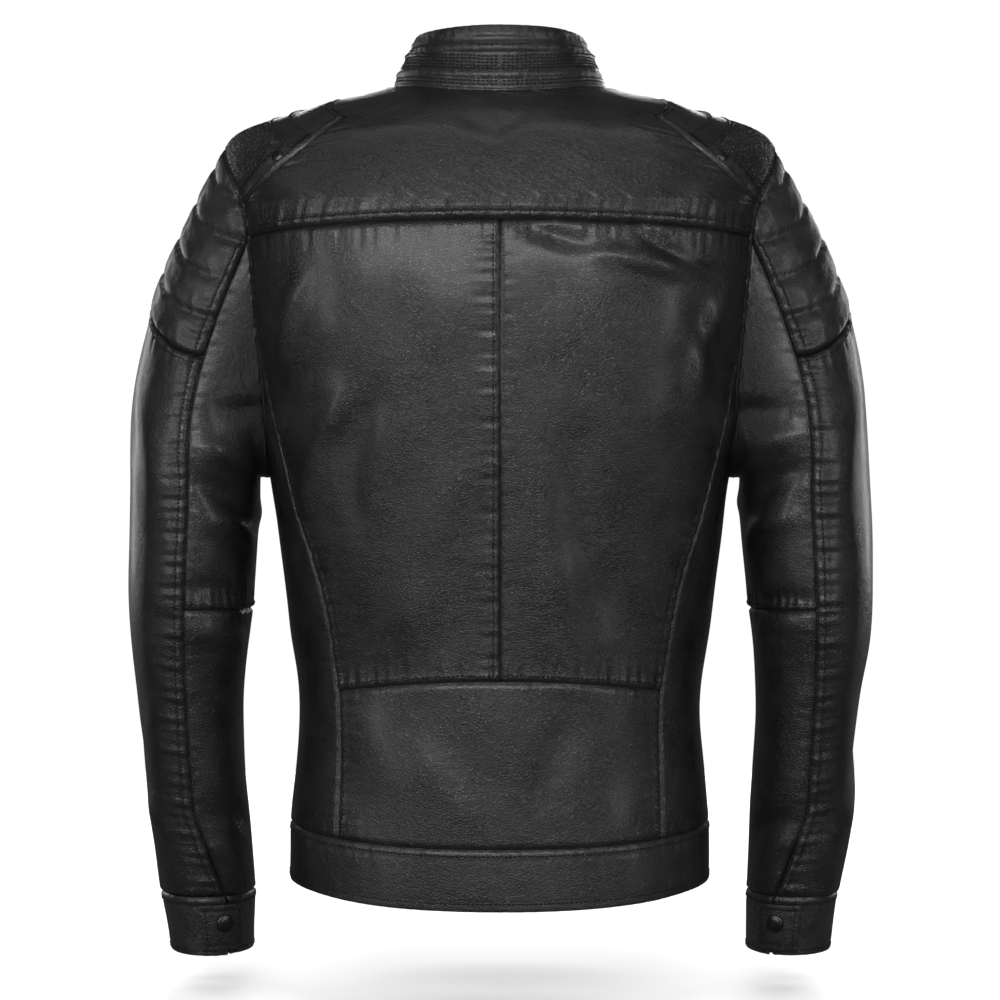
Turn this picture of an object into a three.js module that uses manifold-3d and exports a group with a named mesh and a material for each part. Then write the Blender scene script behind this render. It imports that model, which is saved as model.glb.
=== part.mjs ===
// A leather riding jacket, hanging closed, in millimetres.
// +Z is up, the front faces -Y and the wearer's left is +X.
// The origin is the centre of the neck, level with the seam that joins the collar to the back.
import * as THREE from 'three';
import Module from 'manifold-3d';
import { mergeVertices } from 'three/addons/utils/BufferGeometryUtils.js';

const wasm = await Module();
wasm.setup();

// ---- Driving dimensions ----
const LEATHER = 2; // leather with its backing
const LINING = 0.8;
const LINING_GAP = 3.2; // between the leather and the lining
const LINING_DEPTH = LEATHER + LINING_GAP;
const SEAM_GAP = 0.8; // between two panels that are sewn together
const OPENING_GAP = 2.4; // beside the front panel, which swings
const TOUCH = 0.3; // between two pieces that lie on each other

const BACK_LENGTH = 626;
const HEM_HEIGHT = 46;
const CHEST_HALF_WIDTH = 195;
const WAIST_HALF_WIDTH = 160;
const HEM_HALF_WIDTH = 166;
const SHOULDER_HALF_WIDTH = 216;
const NECK_HALF_WIDTH = 86;
const BACK_DEPTH = 138;
const COLLAR_HEIGHT = 52;

const NECK_FRONT_DROP = 50; // the front of the neck below its back
const ZIP_TOP_DEPTH = 84; // in front of the neck's centre
const ZIP_BOTTOM_DEPTH = 120;
const FOLD_DEPTH = 12; // the line that a front swings about, behind the zip line

const SLEEVE_WIDTH = 104;
const SLEEVE_DEPTH = 144;
const ELBOW_DROP = 403; // below the origin
const CUFF_DROP = 631;
const CUFF_HEIGHT = 47;
const ARMHOLE_BACK = 66; // half the armhole's depth, behind and in front of its middle
const ARMHOLE_FRONT = 56;

const ZIP_TEETH_WIDTH = 2.2;
const ZIP_TEETH_HEIGHT = 2.4;
const ZIP_TAPE_WIDTH = 13.5;
const ZIP_TAPE_THICKNESS = 0.8;
const ZIP_TAPE_SINK = 1.8; // from the back of the leather in to the tape
const PLACKET_HALF_GAP = 9; // from the zip line to the edge of the leather
const POCKET_LENGTH = 130;
const CHEST_POCKET_LENGTH = 92;
const POCKET_ZIP_WIDTH = 9;
const SNAP_RADIUS = 7;
const ELBOW_BEND = 63; // degrees of room in the notch inside each elbow

const LEATHER_LOOK = { color: 0x1b1b1c, roughness: 0.42, metalness: 0 };
const QUILT_LOOK = { color: 0x171718, roughness: 0.45, metalness: 0 };
const TRIM_LOOK = { color: 0x222223, roughness: 0.4, metalness: 0 };
const LINING_LOOK = { color: 0x0f0f12, roughness: 0.6, metalness: 0 };
const TAPE_LOOK = { color: 0x0c0c0c, roughness: 0.9, metalness: 0 };
const METAL_LOOK = { color: 0x4a4a4e, roughness: 0.3, metalness: 1 };

// ---- Small helpers ----
const degrees = (radians) => (radians * 180) / Math.PI;
const radians = (angle) => (angle * Math.PI) / 180;
const mix = (a, b, share) => a + (b - a) * share;
const mixPair = (a, b, share) => [mix(a[0], b[0], share), mix(a[1], b[1], share)];
const clamp = (value, low, high) => Math.min(Math.max(value, low), high);

function steps(count, place) {
  return Array.from({ length: count + 1 }, (_, i) => place(i / count));
}

function chain(...edges) {
  return edges.reduce((whole, edge) => whole.concat(edge.slice(1)));
}

function line(from, to, count) {
  return steps(count, (share) => mixPair(from, to, share));
}

function solve(low, high, tooLow) {
  for (let i = 0; i < 40; i += 1) {
    const middle = (low + high) / 2;
    if (tooLow(middle)) low = middle;
    else high = middle;
  }
  return (low + high) / 2;
}

// A smooth curve through one value for each station, at any place between them.
function through(values, place) {
  const last = values.length - 1;
  const start = clamp(Math.floor(place), 0, last - 1);
  const share = place - start;
  const slope = (i) => {
    if (i <= 0) return values[1] - values[0];
    if (i >= last) return values[last] - values[last - 1];
    return (values[i + 1] - values[i - 1]) / 2;
  };
  const a = values[start];
  const b = values[start + 1];
  const bend = slope(start) + slope(start + 1) - 2 * (b - a);
  return a + slope(start) * share + (3 * (b - a) - 2 * slope(start) - slope(start + 1)) * share ** 2
    + bend * share ** 3;
}

// ---- The body of the jacket: rings stacked from the hem (0) to the neck (9) and collar top (10) ----
// side is the ring's half width, and sideZ, backZ and frontZ its height at the side, back and front.
const hemBottom = -BACK_LENGTH;
const hemTop = hemBottom + HEM_HEIGHT;
const ringRows = [
  {
    side: HEM_HALF_WIDTH + 1, sideZ: hemBottom + 11, back: 125, backZ: hemBottom,
    frontZ: hemBottom + 4, round: 2.4,
  },
  { side: HEM_HALF_WIDTH, sideZ: hemTop + 9, back: 124, backZ: hemTop, frontZ: hemTop + 4, round: 2.4 },
  { side: WAIST_HALF_WIDTH, sideZ: -478, back: 119, backZ: -458, frontZ: -470, round: 2.3 },
  { side: WAIST_HALF_WIDTH + 8, sideZ: -410, back: 122, backZ: -390, frontZ: -390, round: 2.4 },
  { side: CHEST_HALF_WIDTH - 13, sideZ: -298, back: 132, backZ: -285, frontZ: -285, round: 2.6 },
  { side: CHEST_HALF_WIDTH, sideZ: -180, back: BACK_DEPTH, backZ: -180, frontZ: -190, round: 3 },
  { side: SHOULDER_HALF_WIDTH - 12, sideZ: -100, back: BACK_DEPTH - 4, backZ: -107, frontZ: -130, round: 3 },
  { side: SHOULDER_HALF_WIDTH, sideZ: -38, back: 118, backZ: -52, frontZ: -95, round: 2.6 },
  { side: 160, sideZ: -10, back: 98, backZ: -22, frontZ: -72, round: 2.3 },
  { side: NECK_HALF_WIDTH, sideZ: 12, back: 70, backZ: 0, frontZ: -NECK_FRONT_DROP, round: 2 },
];
const COLLAR_TOP = {
  side: NECK_HALF_WIDTH - 17, sideZ: COLLAR_HEIGHT - 1, back: 60, backZ: COLLAR_HEIGHT,
  frontZ: COLLAR_HEIGHT - 4 - NECK_FRONT_DROP, round: 2,
};
const HEM = 0;
const HEM_SEAM = 1;
const NECK = 9;
const COLLAR_EDGE = 10;
const BOTTOM_Z = ringRows[0].frontZ;

// The zip lies on one straight line down the front.
function zipDepth(z) {
  const share = (-NECK_FRONT_DROP - z) / (-NECK_FRONT_DROP - BOTTOM_Z);
  return mix(ZIP_TOP_DEPTH, ZIP_BOTTOM_DEPTH, share);
}

function ringAt(level) {
  const ring = {};
  for (const key of Object.keys(COLLAR_TOP)) {
    const values = ringRows.map((row) => row[key]);
    ring[key] = level > NECK
      ? mix(values[NECK], COLLAR_TOP[key], level - NECK)
      : through(values, level);
  }
  ring.front = zipDepth(ring.frontZ);
  return ring;
}

// turn runs from 0 at the middle of the back, through 90 at the wearer's left side, to 180 in front.
function bodyPoint(turn, level) {
  const ring = ringAt(level);
  const across = Math.sin(radians(turn));
  const along = Math.cos(radians(turn));
  const power = 2 / ring.round;
  const depth = along > 0 ? ring.back : -ring.front;
  return new THREE.Vector3(
    ring.side * Math.sign(across) * Math.abs(across) ** power,
    depth * Math.abs(along) ** power,
    ring.sideZ * across ** 2 + (along > 0 ? ring.backZ : ring.frontZ) * along ** 2,
  );
}

// The turn at which the ring is a given distance out to the side.
function turnAt(x, level, inFront) {
  const ring = ringAt(level);
  const across = clamp(Math.abs(x) / ring.side, 0, 1) ** (ring.round / 2);
  const turn = Math.sign(x) * degrees(Math.asin(across));
  return inFront ? Math.sign(x) * 180 - turn : turn;
}

// The place on the body that is seen at (x, z) from straight behind or in front.
function placeSeen(x, z, inFront) {
  const level = solve(HEM, NECK, (trial) => bodyPoint(turnAt(x, trial, inFront), trial).z < z);
  return [turnAt(x, level, inFront), level];
}

// ---- The armhole: a loop on the side of the body ----
// swing runs from 0 at the shoulder tip through 90 behind and 180 at the armpit to 270 in front.
function armhole(swing) {
  const level = 5.5 + 1.5 * Math.cos(radians(swing));
  const behind = Math.sin(radians(swing)) >= 0;
  const reach = (behind ? ARMHOLE_BACK : ARMHOLE_FRONT) * Math.abs(Math.sin(radians(swing))) ** 0.85;
  const ring = ringAt(level);
  const share = clamp(reach / (behind ? ring.back : ring.front), 0, 1);
  const turn = degrees(Math.acos(share ** (ring.round / 2)));
  return [behind ? turn : 180 - turn, level];
}

function armholeEdge(from, to, count) {
  return steps(count, (share) => armhole(mix(from, to, share)));
}

const PATCH_SWING = 64; // where each seam meets the armhole
const SLEEVE_SWING = 78;
const FRONT_YOKE_SWING = 84;
const PRINCESS_SWING = 116;

// ---- Seams of the body, each a row of [turn, level] places ----
const ACROSS = 6; // columns in half of the back
const foldAt = (z) => -zipDepth(z) + FOLD_DEPTH;

// The seam beside the front panel lies in the plane that holds the line it swings about.
function foldSeam(level) {
  const inside = (turn) => bodyPoint(turn, level).y > foldAt(bodyPoint(turn, level).z);
  return [solve(91, 180, inside), level];
}

function zipEdge(level) {
  return [turnAt(PLACKET_HALF_GAP, level, true), level];
}

const yokeEnd = bodyPoint(...armhole(SLEEVE_SWING));
const YOKE_Z = -107;
const yokeSeam = steps(2 * ACROSS, (share) => {
  const side = 2 * share - 1;
  return side === -1 || side === 1
    ? [side * armhole(SLEEVE_SWING)[0], armhole(SLEEVE_SWING)[1]]
    : placeSeen(side * yokeEnd.x, mix(YOKE_Z, yokeEnd.z, side ** 2), false);
});

const WAIST_SEAM = { x: 124, middleZ: -454, sideZ: -463 };
const waistSeam = steps(2 * ACROSS, (share) => {
  const side = 2 * share - 1;
  return placeSeen(side * WAIST_SEAM.x, mix(WAIST_SEAM.middleZ, WAIST_SEAM.sideZ, side ** 2), false);
});

const princessTop = bodyPoint(...armhole(PRINCESS_SWING));
const princessCurve = new THREE.SplineCurve([
  new THREE.Vector2(WAIST_SEAM.x, WAIST_SEAM.sideZ),
  new THREE.Vector2(WAIST_SEAM.x + 12, -392),
  new THREE.Vector2(WAIST_SEAM.x + 39, -302),
  new THREE.Vector2(princessTop.x, princessTop.z),
]);
const princessAbove = steps(6, (share) => {
  const seen = princessCurve.getPoint(share);
  return share === 1 ? armhole(PRINCESS_SWING) : placeSeen(seen.x, seen.y, false);
});
const hemCorner = [turnAt(WAIST_SEAM.x, HEM_SEAM, false), HEM_SEAM];
const princessBelow = line(hemCorner, waistSeam.at(-1), 3);

const SIDE_FRONT_TURN = 122;
const sideFront = line([SIDE_FRONT_TURN, HEM_SEAM], armhole(-PRINCESS_SWING), 9);

const FRONT_YOKE_LEVEL = 6.6;
const frontYokeSeam = line(armhole(-FRONT_YOKE_SWING), foldSeam(FRONT_YOKE_LEVEL), 4);

// The shoulder patch: an inner end across the shoulder, and a straight seam down to the armhole.
const PATCH_INNER = { x: 119, backZ: -21, frontZ: -27 };
const patchTop = [90, solve(8, NECK, (level) => ringAt(level).side > 113)];
const patchBackCorner = placeSeen(PATCH_INNER.x, PATCH_INNER.backZ, false);
const patchFrontCorner = placeSeen(PATCH_INNER.x, PATCH_INNER.frontZ, true);

function patchSeam(corner, swing, inFront) {
  const end = bodyPoint(...armhole(swing));
  const start = bodyPoint(...corner);
  return steps(4, (share) => {
    if (share === 0) return armhole(swing);
    if (share === 1) return corner;
    return placeSeen(mix(end.x, start.x, share), mix(end.z, start.z, share), inFront);
  });
}

const patchBackSeam = patchSeam(patchBackCorner, PATCH_SWING, false);
const patchFrontSeam = patchSeam(patchFrontCorner, -PATCH_SWING, true);
const patchInnerBack = line(patchBackCorner, patchTop, 4);
const patchInnerFront = line(patchFrontCorner, patchTop, 4);
const shoulderRidge = line(patchTop, [90, NECK], 1);

const mirrored = (edge) => edge.map(([turn, level]) => [-turn, level]);
const reversed = (edge) => [...edge].reverse();

// ---- Panels ----
// Fills the grid between four edges that share their corners; bottom and top run one way,
// left and right run from the bottom to the top.
function fill(bottom, top, left, right) {
  const columns = bottom.length - 1;
  const rows = left.length - 1;
  return left.map((_, row) => bottom.map((__, column) => {
    const u = column / columns;
    const v = row / rows;
    return [0, 1].map((k) => mix(bottom[column][k], top[column][k], v)
      + mix(left[row][k], right[row][k], u)
      - mix(mix(bottom[0][k], bottom[columns][k], u), mix(top[0][k], top[columns][k], u), v));
  }));
}

// Fills the grid above a seam from one side edge to its mirror image, each row a flat arch.
function arched(bottom, side) {
  const half = (bottom.length - 1) / 2;
  const last = side.length - 1;
  return side.map(([turn, level], row) => {
    const middle = mix(bottom[half][1], side[last][1], row / last);
    return bottom.map((seam, column) => {
      const out = column / half - 1;
      const rise = 1 - out ** 2;
      const seamShare = (1 - row / last) ** 3;
      const plain = [side[0][0] * out, mix(side[0][1], bottom[half][1], rise)];
      return [
        turn * out + (seam[0] - plain[0]) * seamShare,
        mix(level, middle, rise) + (seam[1] - plain[1]) * seamShare,
      ];
    });
  });
}

function normalOf(surface, a, b) {
  const step = 0.01;
  const acrossWay = surface.point(a + step, b).sub(surface.point(a - step, b));
  const upWay = surface.point(a, b + step).sub(surface.point(a, b - step));
  return acrossWay.cross(upWay).normalize().multiplyScalar(surface.outward);
}

const bodySurface = { point: bodyPoint, outward: -1 };

// A sheet of even thickness on a surface: its outer face lies depth below the surface.
function sheet(surface, grid, { thickness = LEATHER, depth = 0, inset = SEAM_GAP / 2 } = {}) {
  const rows = grid.length;
  const columns = grid[0].length;
  const insets = typeof inset === 'number'
    ? { bottom: inset, top: inset, left: inset, right: inset }
    : inset;
  const faces = grid.map((row) => row.map(([a, b]) => {
    const normal = normalOf(surface, a, b);
    const base = surface.point(a, b);
    return {
      outer: base.clone().addScaledVector(normal, -depth),
      inner: base.clone().addScaledVector(normal, -depth - thickness),
      normal,
    };
  }));
  const pulls = faces.map((row, i) => row.map((vertex, j) => {
    const pull = new THREE.Vector3();
    const toward = (r, c, amount) => {
      const way = faces[r][c].outer.clone().sub(vertex.outer).normalize();
      pull.addScaledVector(way, amount);
    };
    if (i === 0) toward(1, j, insets.bottom);
    if (i === rows - 1) toward(rows - 2, j, insets.top);
    if (j === 0) toward(i, 1, insets.left);
    if (j === columns - 1) toward(i, columns - 2, insets.right);
    return pull;
  }));
  const positions = [];
  for (const side of ['outer', 'inner']) {
    faces.forEach((row, i) => row.forEach((vertex, j) => {
      positions.push(...vertex[side].clone().add(pulls[i][j]).toArray());
    }));
  }
  const outerAt = (i, j) => i * columns + j;
  const innerAt = (i, j) => rows * columns + outerAt(i, j);
  const centre = [Math.floor((rows - 1) / 2), Math.floor((columns - 1) / 2)];
  const corner = faces[centre[0]][centre[1]];
  const alongRow = faces[centre[0]][centre[1] + 1].outer.clone().sub(corner.outer);
  const alongColumn = faces[centre[0] + 1][centre[1]].outer.clone().sub(corner.outer);
  const turned = alongRow.cross(alongColumn).dot(corner.normal) < 0;
  const indices = [];
  const quad = (a, b, c, d) => {
    indices.push(...(turned ? [a, c, b, a, d, c] : [a, b, c, a, c, d]));
  };
  for (let i = 0; i < rows - 1; i += 1) {
    for (let j = 0; j < columns - 1; j += 1) {
      quad(outerAt(i, j), outerAt(i, j + 1), outerAt(i + 1, j + 1), outerAt(i + 1, j));
      quad(innerAt(i, j), innerAt(i + 1, j), innerAt(i + 1, j + 1), innerAt(i, j + 1));
    }
  }
  for (let j = 0; j < columns - 1; j += 1) {
    quad(innerAt(0, j), innerAt(0, j + 1), outerAt(0, j + 1), outerAt(0, j));
    quad(outerAt(rows - 1, j), outerAt(rows - 1, j + 1), innerAt(rows - 1, j + 1), innerAt(rows - 1, j));
  }
  for (let i = 0; i < rows - 1; i += 1) {
    quad(outerAt(i, 0), outerAt(i + 1, 0), innerAt(i + 1, 0), innerAt(i, 0));
    const end = columns - 1;
    quad(innerAt(i, end), innerAt(i + 1, end), outerAt(i + 1, end), outerAt(i, end));
  }
  const geometry = new THREE.BufferGeometry();
  geometry.setAttribute('position', new THREE.Float32BufferAttribute(positions, 3));
  geometry.setIndex(indices);
  geometry.computeVertexNormals();
  return geometry;
}

// ---- Scene ----
const jacket = new THREE.Group();
const leftSide = new THREE.Group();
const rightSide = new THREE.Group();
rightSide.scale.x = -1;
jacket.add(leftSide, rightSide);

function add(name, geometry, look, group = jacket) {
  const mesh = new THREE.Mesh(geometry, new THREE.MeshStandardMaterial(look));
  mesh.name = name;
  group.add(mesh);
  return mesh;
}

function addPair(name, geometry, look, place = (mesh) => mesh) {
  place(add(`${name}_left`, geometry, look, leftSide));
  place(add(`${name}_right`, geometry.clone(), look, rightSide));
}

// ---- Back and sides ----
function backPanels() {
  const yokeSide = chain(
    armholeEdge(SLEEVE_SWING, PATCH_SWING, 1),
    patchBackSeam,
    patchInnerBack,
    shoulderRidge,
  );
  const yokeGrid = arched(yokeSeam, yokeSide);
  add('back_yoke', sheet(bodySurface, yokeGrid), LEATHER_LOOK);

  const armholeBack = armholeEdge(PRINCESS_SWING, SLEEVE_SWING, 3);
  const backSide = chain(princessAbove, armholeBack);
  const middle = line([0, waistSeam[ACROSS][1]], [0, yokeSeam[ACROSS][1]], backSide.length - 1);
  const backGrid = fill(waistSeam.slice(ACROSS), yokeSeam.slice(ACROSS), middle, backSide);
  addPair('back_panel', sheet(bodySurface, backGrid), LEATHER_LOOK);

  const hemBack = steps(2 * ACROSS, (share) => [mix(-hemCorner[0], hemCorner[0], share), HEM_SEAM]);
  const lowerGrid = fill(hemBack, waistSeam, mirrored(princessBelow), princessBelow);
  add('back_lower_panel', sheet(bodySurface, lowerGrid), LEATHER_LOOK);

  const sideBottom = line(hemCorner, [SIDE_FRONT_TURN, HEM_SEAM], 6);
  const armpit = armholeEdge(PRINCESS_SWING, 360 - PRINCESS_SWING, 6);
  const sideGrid = fill(sideBottom, armpit, chain(princessBelow, princessAbove), sideFront);
  addPair('side_panel', sheet(bodySurface, sideGrid), LEATHER_LOOK);

  const wholeBack = backGrid.map((row) => [...mirrored(reversed(row)), ...row.slice(1)]);
  const liningGrid = [...lowerGrid, ...wholeBack.slice(1), ...yokeGrid.slice(1)];
  const liningSize = { thickness: LINING, depth: LINING_DEPTH, inset: 3 };
  add('back_lining', sheet(bodySurface, liningGrid, liningSize), LINING_LOOK);
  return { hemBack, sideBottom };
}

// ---- Shoulders and fixed parts of the front ----
function shoulders() {
  const patchArmhole = armholeEdge(PATCH_SWING, -PATCH_SWING, 8);
  const patchInner = chain(patchInnerBack, reversed(patchInnerFront));
  addPair(
    'shoulder_patch',
    sheet(bodySurface, fill(patchArmhole, patchInner, patchBackSeam, patchFrontSeam)),
    TRIM_LOOK,
  );

  const yokeOuter = chain(
    armholeEdge(-FRONT_YOKE_SWING, -PATCH_SWING, 1),
    patchFrontSeam,
    patchInnerFront,
    shoulderRidge,
  );
  const yokeInner = steps(10, (share) => foldSeam(mix(FRONT_YOKE_LEVEL, NECK, share)));
  const neckFront = line([90, NECK], foldSeam(NECK), 4);
  const frontYoke = fill(frontYokeSeam, neckFront, yokeOuter, yokeInner);
  addPair('front_yoke', sheet(bodySurface, frontYoke), LEATHER_LOOK);

  const frontOuter = chain(sideFront, armholeEdge(-PRINCESS_SWING, -FRONT_YOKE_SWING, 3));
  const frontInner = steps(12, (share) => foldSeam(mix(HEM_SEAM, FRONT_YOKE_LEVEL, share)));
  const sideHem = line([SIDE_FRONT_TURN, HEM_SEAM], foldSeam(HEM_SEAM), 4);
  const frontSide = fill(sideHem, frontYokeSeam, frontOuter, frontInner);
  addPair('front_side', sheet(bodySurface, frontSide), LEATHER_LOOK);
  return sideHem;
}

// ---- Fronts that open ----
function frontPanels() {
  const below = steps(7, (share) => mix(HEM_SEAM, 6.3, share));
  const above = steps(6, (share) => mix(FRONT_YOKE_LEVEL, NECK, share));
  const levels = [...below, ...above];
  const across = 7;
  const rowFrom = (inner) => (level) => line(inner(level), zipEdge(level), across);
  addPair(
    'front_panel',
    sheet(bodySurface, levels.map(rowFrom(foldSeam)), {
      inset: { bottom: SEAM_GAP / 2, top: SEAM_GAP / 2, left: OPENING_GAP, right: 0 },
    }),
    LEATHER_LOOK,
  );
  const liningEdge = (level) => mixPair(foldSeam(level), zipEdge(level), 0.12);
  addPair(
    'front_lining',
    sheet(bodySurface, levels.map(rowFrom(liningEdge)), {
      thickness: LINING,
      depth: LINING_DEPTH,
      inset: { bottom: 3, top: 3, left: 3, right: 4 },
    }),
    LINING_LOOK,
  );
}

// ---- Collar and hem band ----
function edges(hemBack, sideBottom, sideHem) {
  const collarBack = chain(
    mirrored(reversed(line([90, NECK], foldSeam(NECK), 4))),
    steps(2 * ACROSS, (share) => [mix(-90, 90, share), NECK]),
    line([90, NECK], foldSeam(NECK), 4),
  );
  const bandRows = (edge, levels) => levels.map((level) => edge.map(([turn]) => {
    const fold = foldSeam(level)[0];
    const limit = foldSeam(edge.at(-1)[1])[0];
    const past = Math.abs(turn) - 90;
    const shifted = Math.sign(turn) * mix(90, fold, past / (limit - 90));
    return [past > 0 ? shifted : turn, level];
  }));
  add('collar_back', sheet(bodySurface, bandRows(collarBack, [NECK, 9.5, COLLAR_EDGE])), TRIM_LOOK);
  const bandEnd = (level, x) => [turnAt(x, level, true), level];
  const frontBand = (levels, count) => levels.map((level) => line(foldSeam(level), bandEnd(level, 1), count));
  const frontInset = { bottom: SEAM_GAP / 2, top: SEAM_GAP / 2, left: SEAM_GAP / 2, right: 0 };
  addPair(
    'collar_front',
    sheet(bodySurface, frontBand([NECK, 9.5, COLLAR_EDGE], 3), { inset: frontInset }),
    TRIM_LOOK,
  );

  const wholeHem = chain(
    mirrored(reversed(sideHem)),
    mirrored(reversed(sideBottom)),
    hemBack,
    sideBottom,
    sideHem,
  );
  add('hem_band_back', sheet(bodySurface, bandRows(wholeHem, [HEM, HEM_SEAM])), TRIM_LOOK);
  const hemFront = [HEM, HEM_SEAM].map((level) => line(foldSeam(level), zipEdge(level), 4));
  addPair('hem_band_front', sheet(bodySurface, hemFront, { inset: frontInset }), TRIM_LOOK);
}

// ---- Zips and snaps ----
const zipTilt = Math.atan((ZIP_BOTTOM_DEPTH - ZIP_TOP_DEPTH) / (-NECK_FRONT_DROP - BOTTOM_Z));
const ZIP_TOP_Z = -NECK_FRONT_DROP - 4;
const ZIP_BOTTOM_Z = BOTTOM_Z + 3;

// A frame on the zip line: its x runs across, its y into the jacket and its z up the zip.
function onZipLine(z) {
  const frame = new THREE.Group();
  frame.position.set(0, -zipDepth(z), z);
  frame.rotation.x = -zipTilt;
  return frame;
}

function block(width, depth, height, x, y, z) {
  return new THREE.BoxGeometry(width, depth, height).translate(x, y, z);
}

function mainZip() {
  const length = (ZIP_TOP_Z - ZIP_BOTTOM_Z) / Math.cos(zipTilt);
  const middle = (ZIP_TOP_Z + ZIP_BOTTOM_Z) / 2;
  const tapeX = TOUCH * 2 + ZIP_TEETH_WIDTH + ZIP_TAPE_WIDTH / 2;
  const tapeY = LEATHER + ZIP_TAPE_SINK + ZIP_TAPE_THICKNESS / 2;
  const teethX = TOUCH / 2 + ZIP_TEETH_WIDTH / 2;
  for (const [side, sign] of [['left', 1], ['right', -1]]) {
    const frame = onZipLine(middle);
    jacket.add(frame);
    const tape = block(ZIP_TAPE_WIDTH, ZIP_TAPE_THICKNESS, length, sign * tapeX, tapeY, 0);
    const teeth = block(ZIP_TEETH_WIDTH, ZIP_TEETH_HEIGHT, length, sign * teethX, tapeY, 0);
    add(`zip_tape_${side}`, tape, TAPE_LOOK, frame);
    add(`zip_teeth_${side}`, teeth, METAL_LOOK, frame);
  }
}

function solidFrom(geometry) {
  const bare = geometry.clone();
  bare.deleteAttribute('normal');
  bare.deleteAttribute('uv');
  const merged = mergeVertices(bare);
  return new wasm.Manifold(new wasm.Mesh({
    numProp: 3,
    vertProperties: merged.attributes.position.array,
    triVerts: merged.index.array,
  }));
}

function union(...geometries) {
  const whole = geometries.map(solidFrom).reduce((a, b) => a.add(b)).getMesh();
  const geometry = new THREE.BufferGeometry();
  geometry.setAttribute('position', new THREE.Float32BufferAttribute(whole.vertProperties, 3));
  geometry.setIndex(Array.from(whole.triVerts));
  return geometry.toNonIndexed();
}

// An upright arch that a pull hangs from, drawn from the side: y runs out from the zip, z up.
const BAIL = { half: 5, height: 5.2, bar: 1.1, width: 2 };

function bailGeometry(base) {
  const shape = new THREE.Shape();
  shape.moveTo(-BAIL.half, base - 0.6);
  shape.lineTo(-BAIL.half, BAIL.height - 1);
  shape.lineTo(1 - BAIL.half, BAIL.height);
  shape.lineTo(BAIL.half - 1, BAIL.height);
  shape.lineTo(BAIL.half, BAIL.height - 1);
  shape.lineTo(BAIL.half, base - 0.6);
  shape.lineTo(BAIL.half - BAIL.bar, base - 0.6);
  shape.lineTo(BAIL.half - BAIL.bar, BAIL.height - BAIL.bar);
  shape.lineTo(BAIL.bar - BAIL.half, BAIL.height - BAIL.bar);
  shape.lineTo(BAIL.bar - BAIL.half, base - 0.6);
  shape.closePath();
  const bail = new THREE.ExtrudeGeometry(shape, { depth: BAIL.width, bevelEnabled: false });
  bail.translate(0, 0, -BAIL.width / 2);
  const upright = new THREE.Matrix4().makeBasis(
    new THREE.Vector3(0, 0, 1),
    new THREE.Vector3(0, -1, 0),
    new THREE.Vector3(1, 0, 0),
  );
  return bail.applyMatrix4(upright);
}

const SLIDER = { width: 8.6, length: 12, plate: 1.4 };

// The slider's plate lies on z across x; its bail stands out along -y.
function sliderGeometry() {
  const plate = new THREE.Shape();
  plate.moveTo(-SLIDER.width / 2, SLIDER.length / 2);
  plate.lineTo(-SLIDER.width * 0.36, -SLIDER.length / 2);
  plate.lineTo(SLIDER.width * 0.36, -SLIDER.length / 2);
  plate.lineTo(SLIDER.width / 2, SLIDER.length / 2);
  plate.closePath();
  const body = new THREE.ExtrudeGeometry(plate, { depth: SLIDER.plate, bevelEnabled: false });
  body.rotateX(Math.PI / 2);
  return union(body, bailGeometry(SLIDER.plate));
}

const PULL = { width: 6.6, length: 30, thickness: 1.2, bar: 1.4, holeWidth: 3.2, holeLength: 4.6 };
const PULL_OUT = 2.75; // the middle of the pull's bar, out from the plate's back

function pullGeometry() {
  const shape = new THREE.Shape();
  const half = PULL.width / 2;
  shape.moveTo(-half, 0);
  shape.lineTo(-half, -PULL.length + 3);
  shape.absarc(0, -PULL.length + 3, half, Math.PI, 2 * Math.PI, false);
  shape.lineTo(half, 0);
  shape.closePath();
  const hole = new THREE.Path();
  hole.moveTo(-PULL.holeWidth / 2, -PULL.bar);
  hole.lineTo(PULL.holeWidth / 2, -PULL.bar);
  hole.lineTo(PULL.holeWidth / 2, -PULL.bar - PULL.holeLength);
  hole.lineTo(-PULL.holeWidth / 2, -PULL.bar - PULL.holeLength);
  hole.closePath();
  shape.holes.push(hole);
  const options = { depth: PULL.thickness, bevelEnabled: false, curveSegments: 6 };
  const pull = new THREE.ExtrudeGeometry(shape, options);
  pull.rotateX(Math.PI / 2);
  return pull.translate(0, PULL.thickness / 2 - PULL_OUT, PULL.bar / 2);
}

const SLIDER_Z = ZIP_TOP_Z - 8;

function mainSlider() {
  const frame = onZipLine(SLIDER_Z);
  const tapeY = LEATHER + ZIP_TAPE_SINK + ZIP_TAPE_THICKNESS / 2;
  const seat = tapeY - ZIP_TEETH_HEIGHT / 2 - TOUCH;
  jacket.add(frame);
  const slider = add('main_zip_slider', sliderGeometry(), METAL_LOOK, frame);
  slider.position.y = seat;
  const pull = add('main_zip_pull', pullGeometry(), METAL_LOOK, frame);
  pull.position.set(0, seat, -1.2);
}

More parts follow.
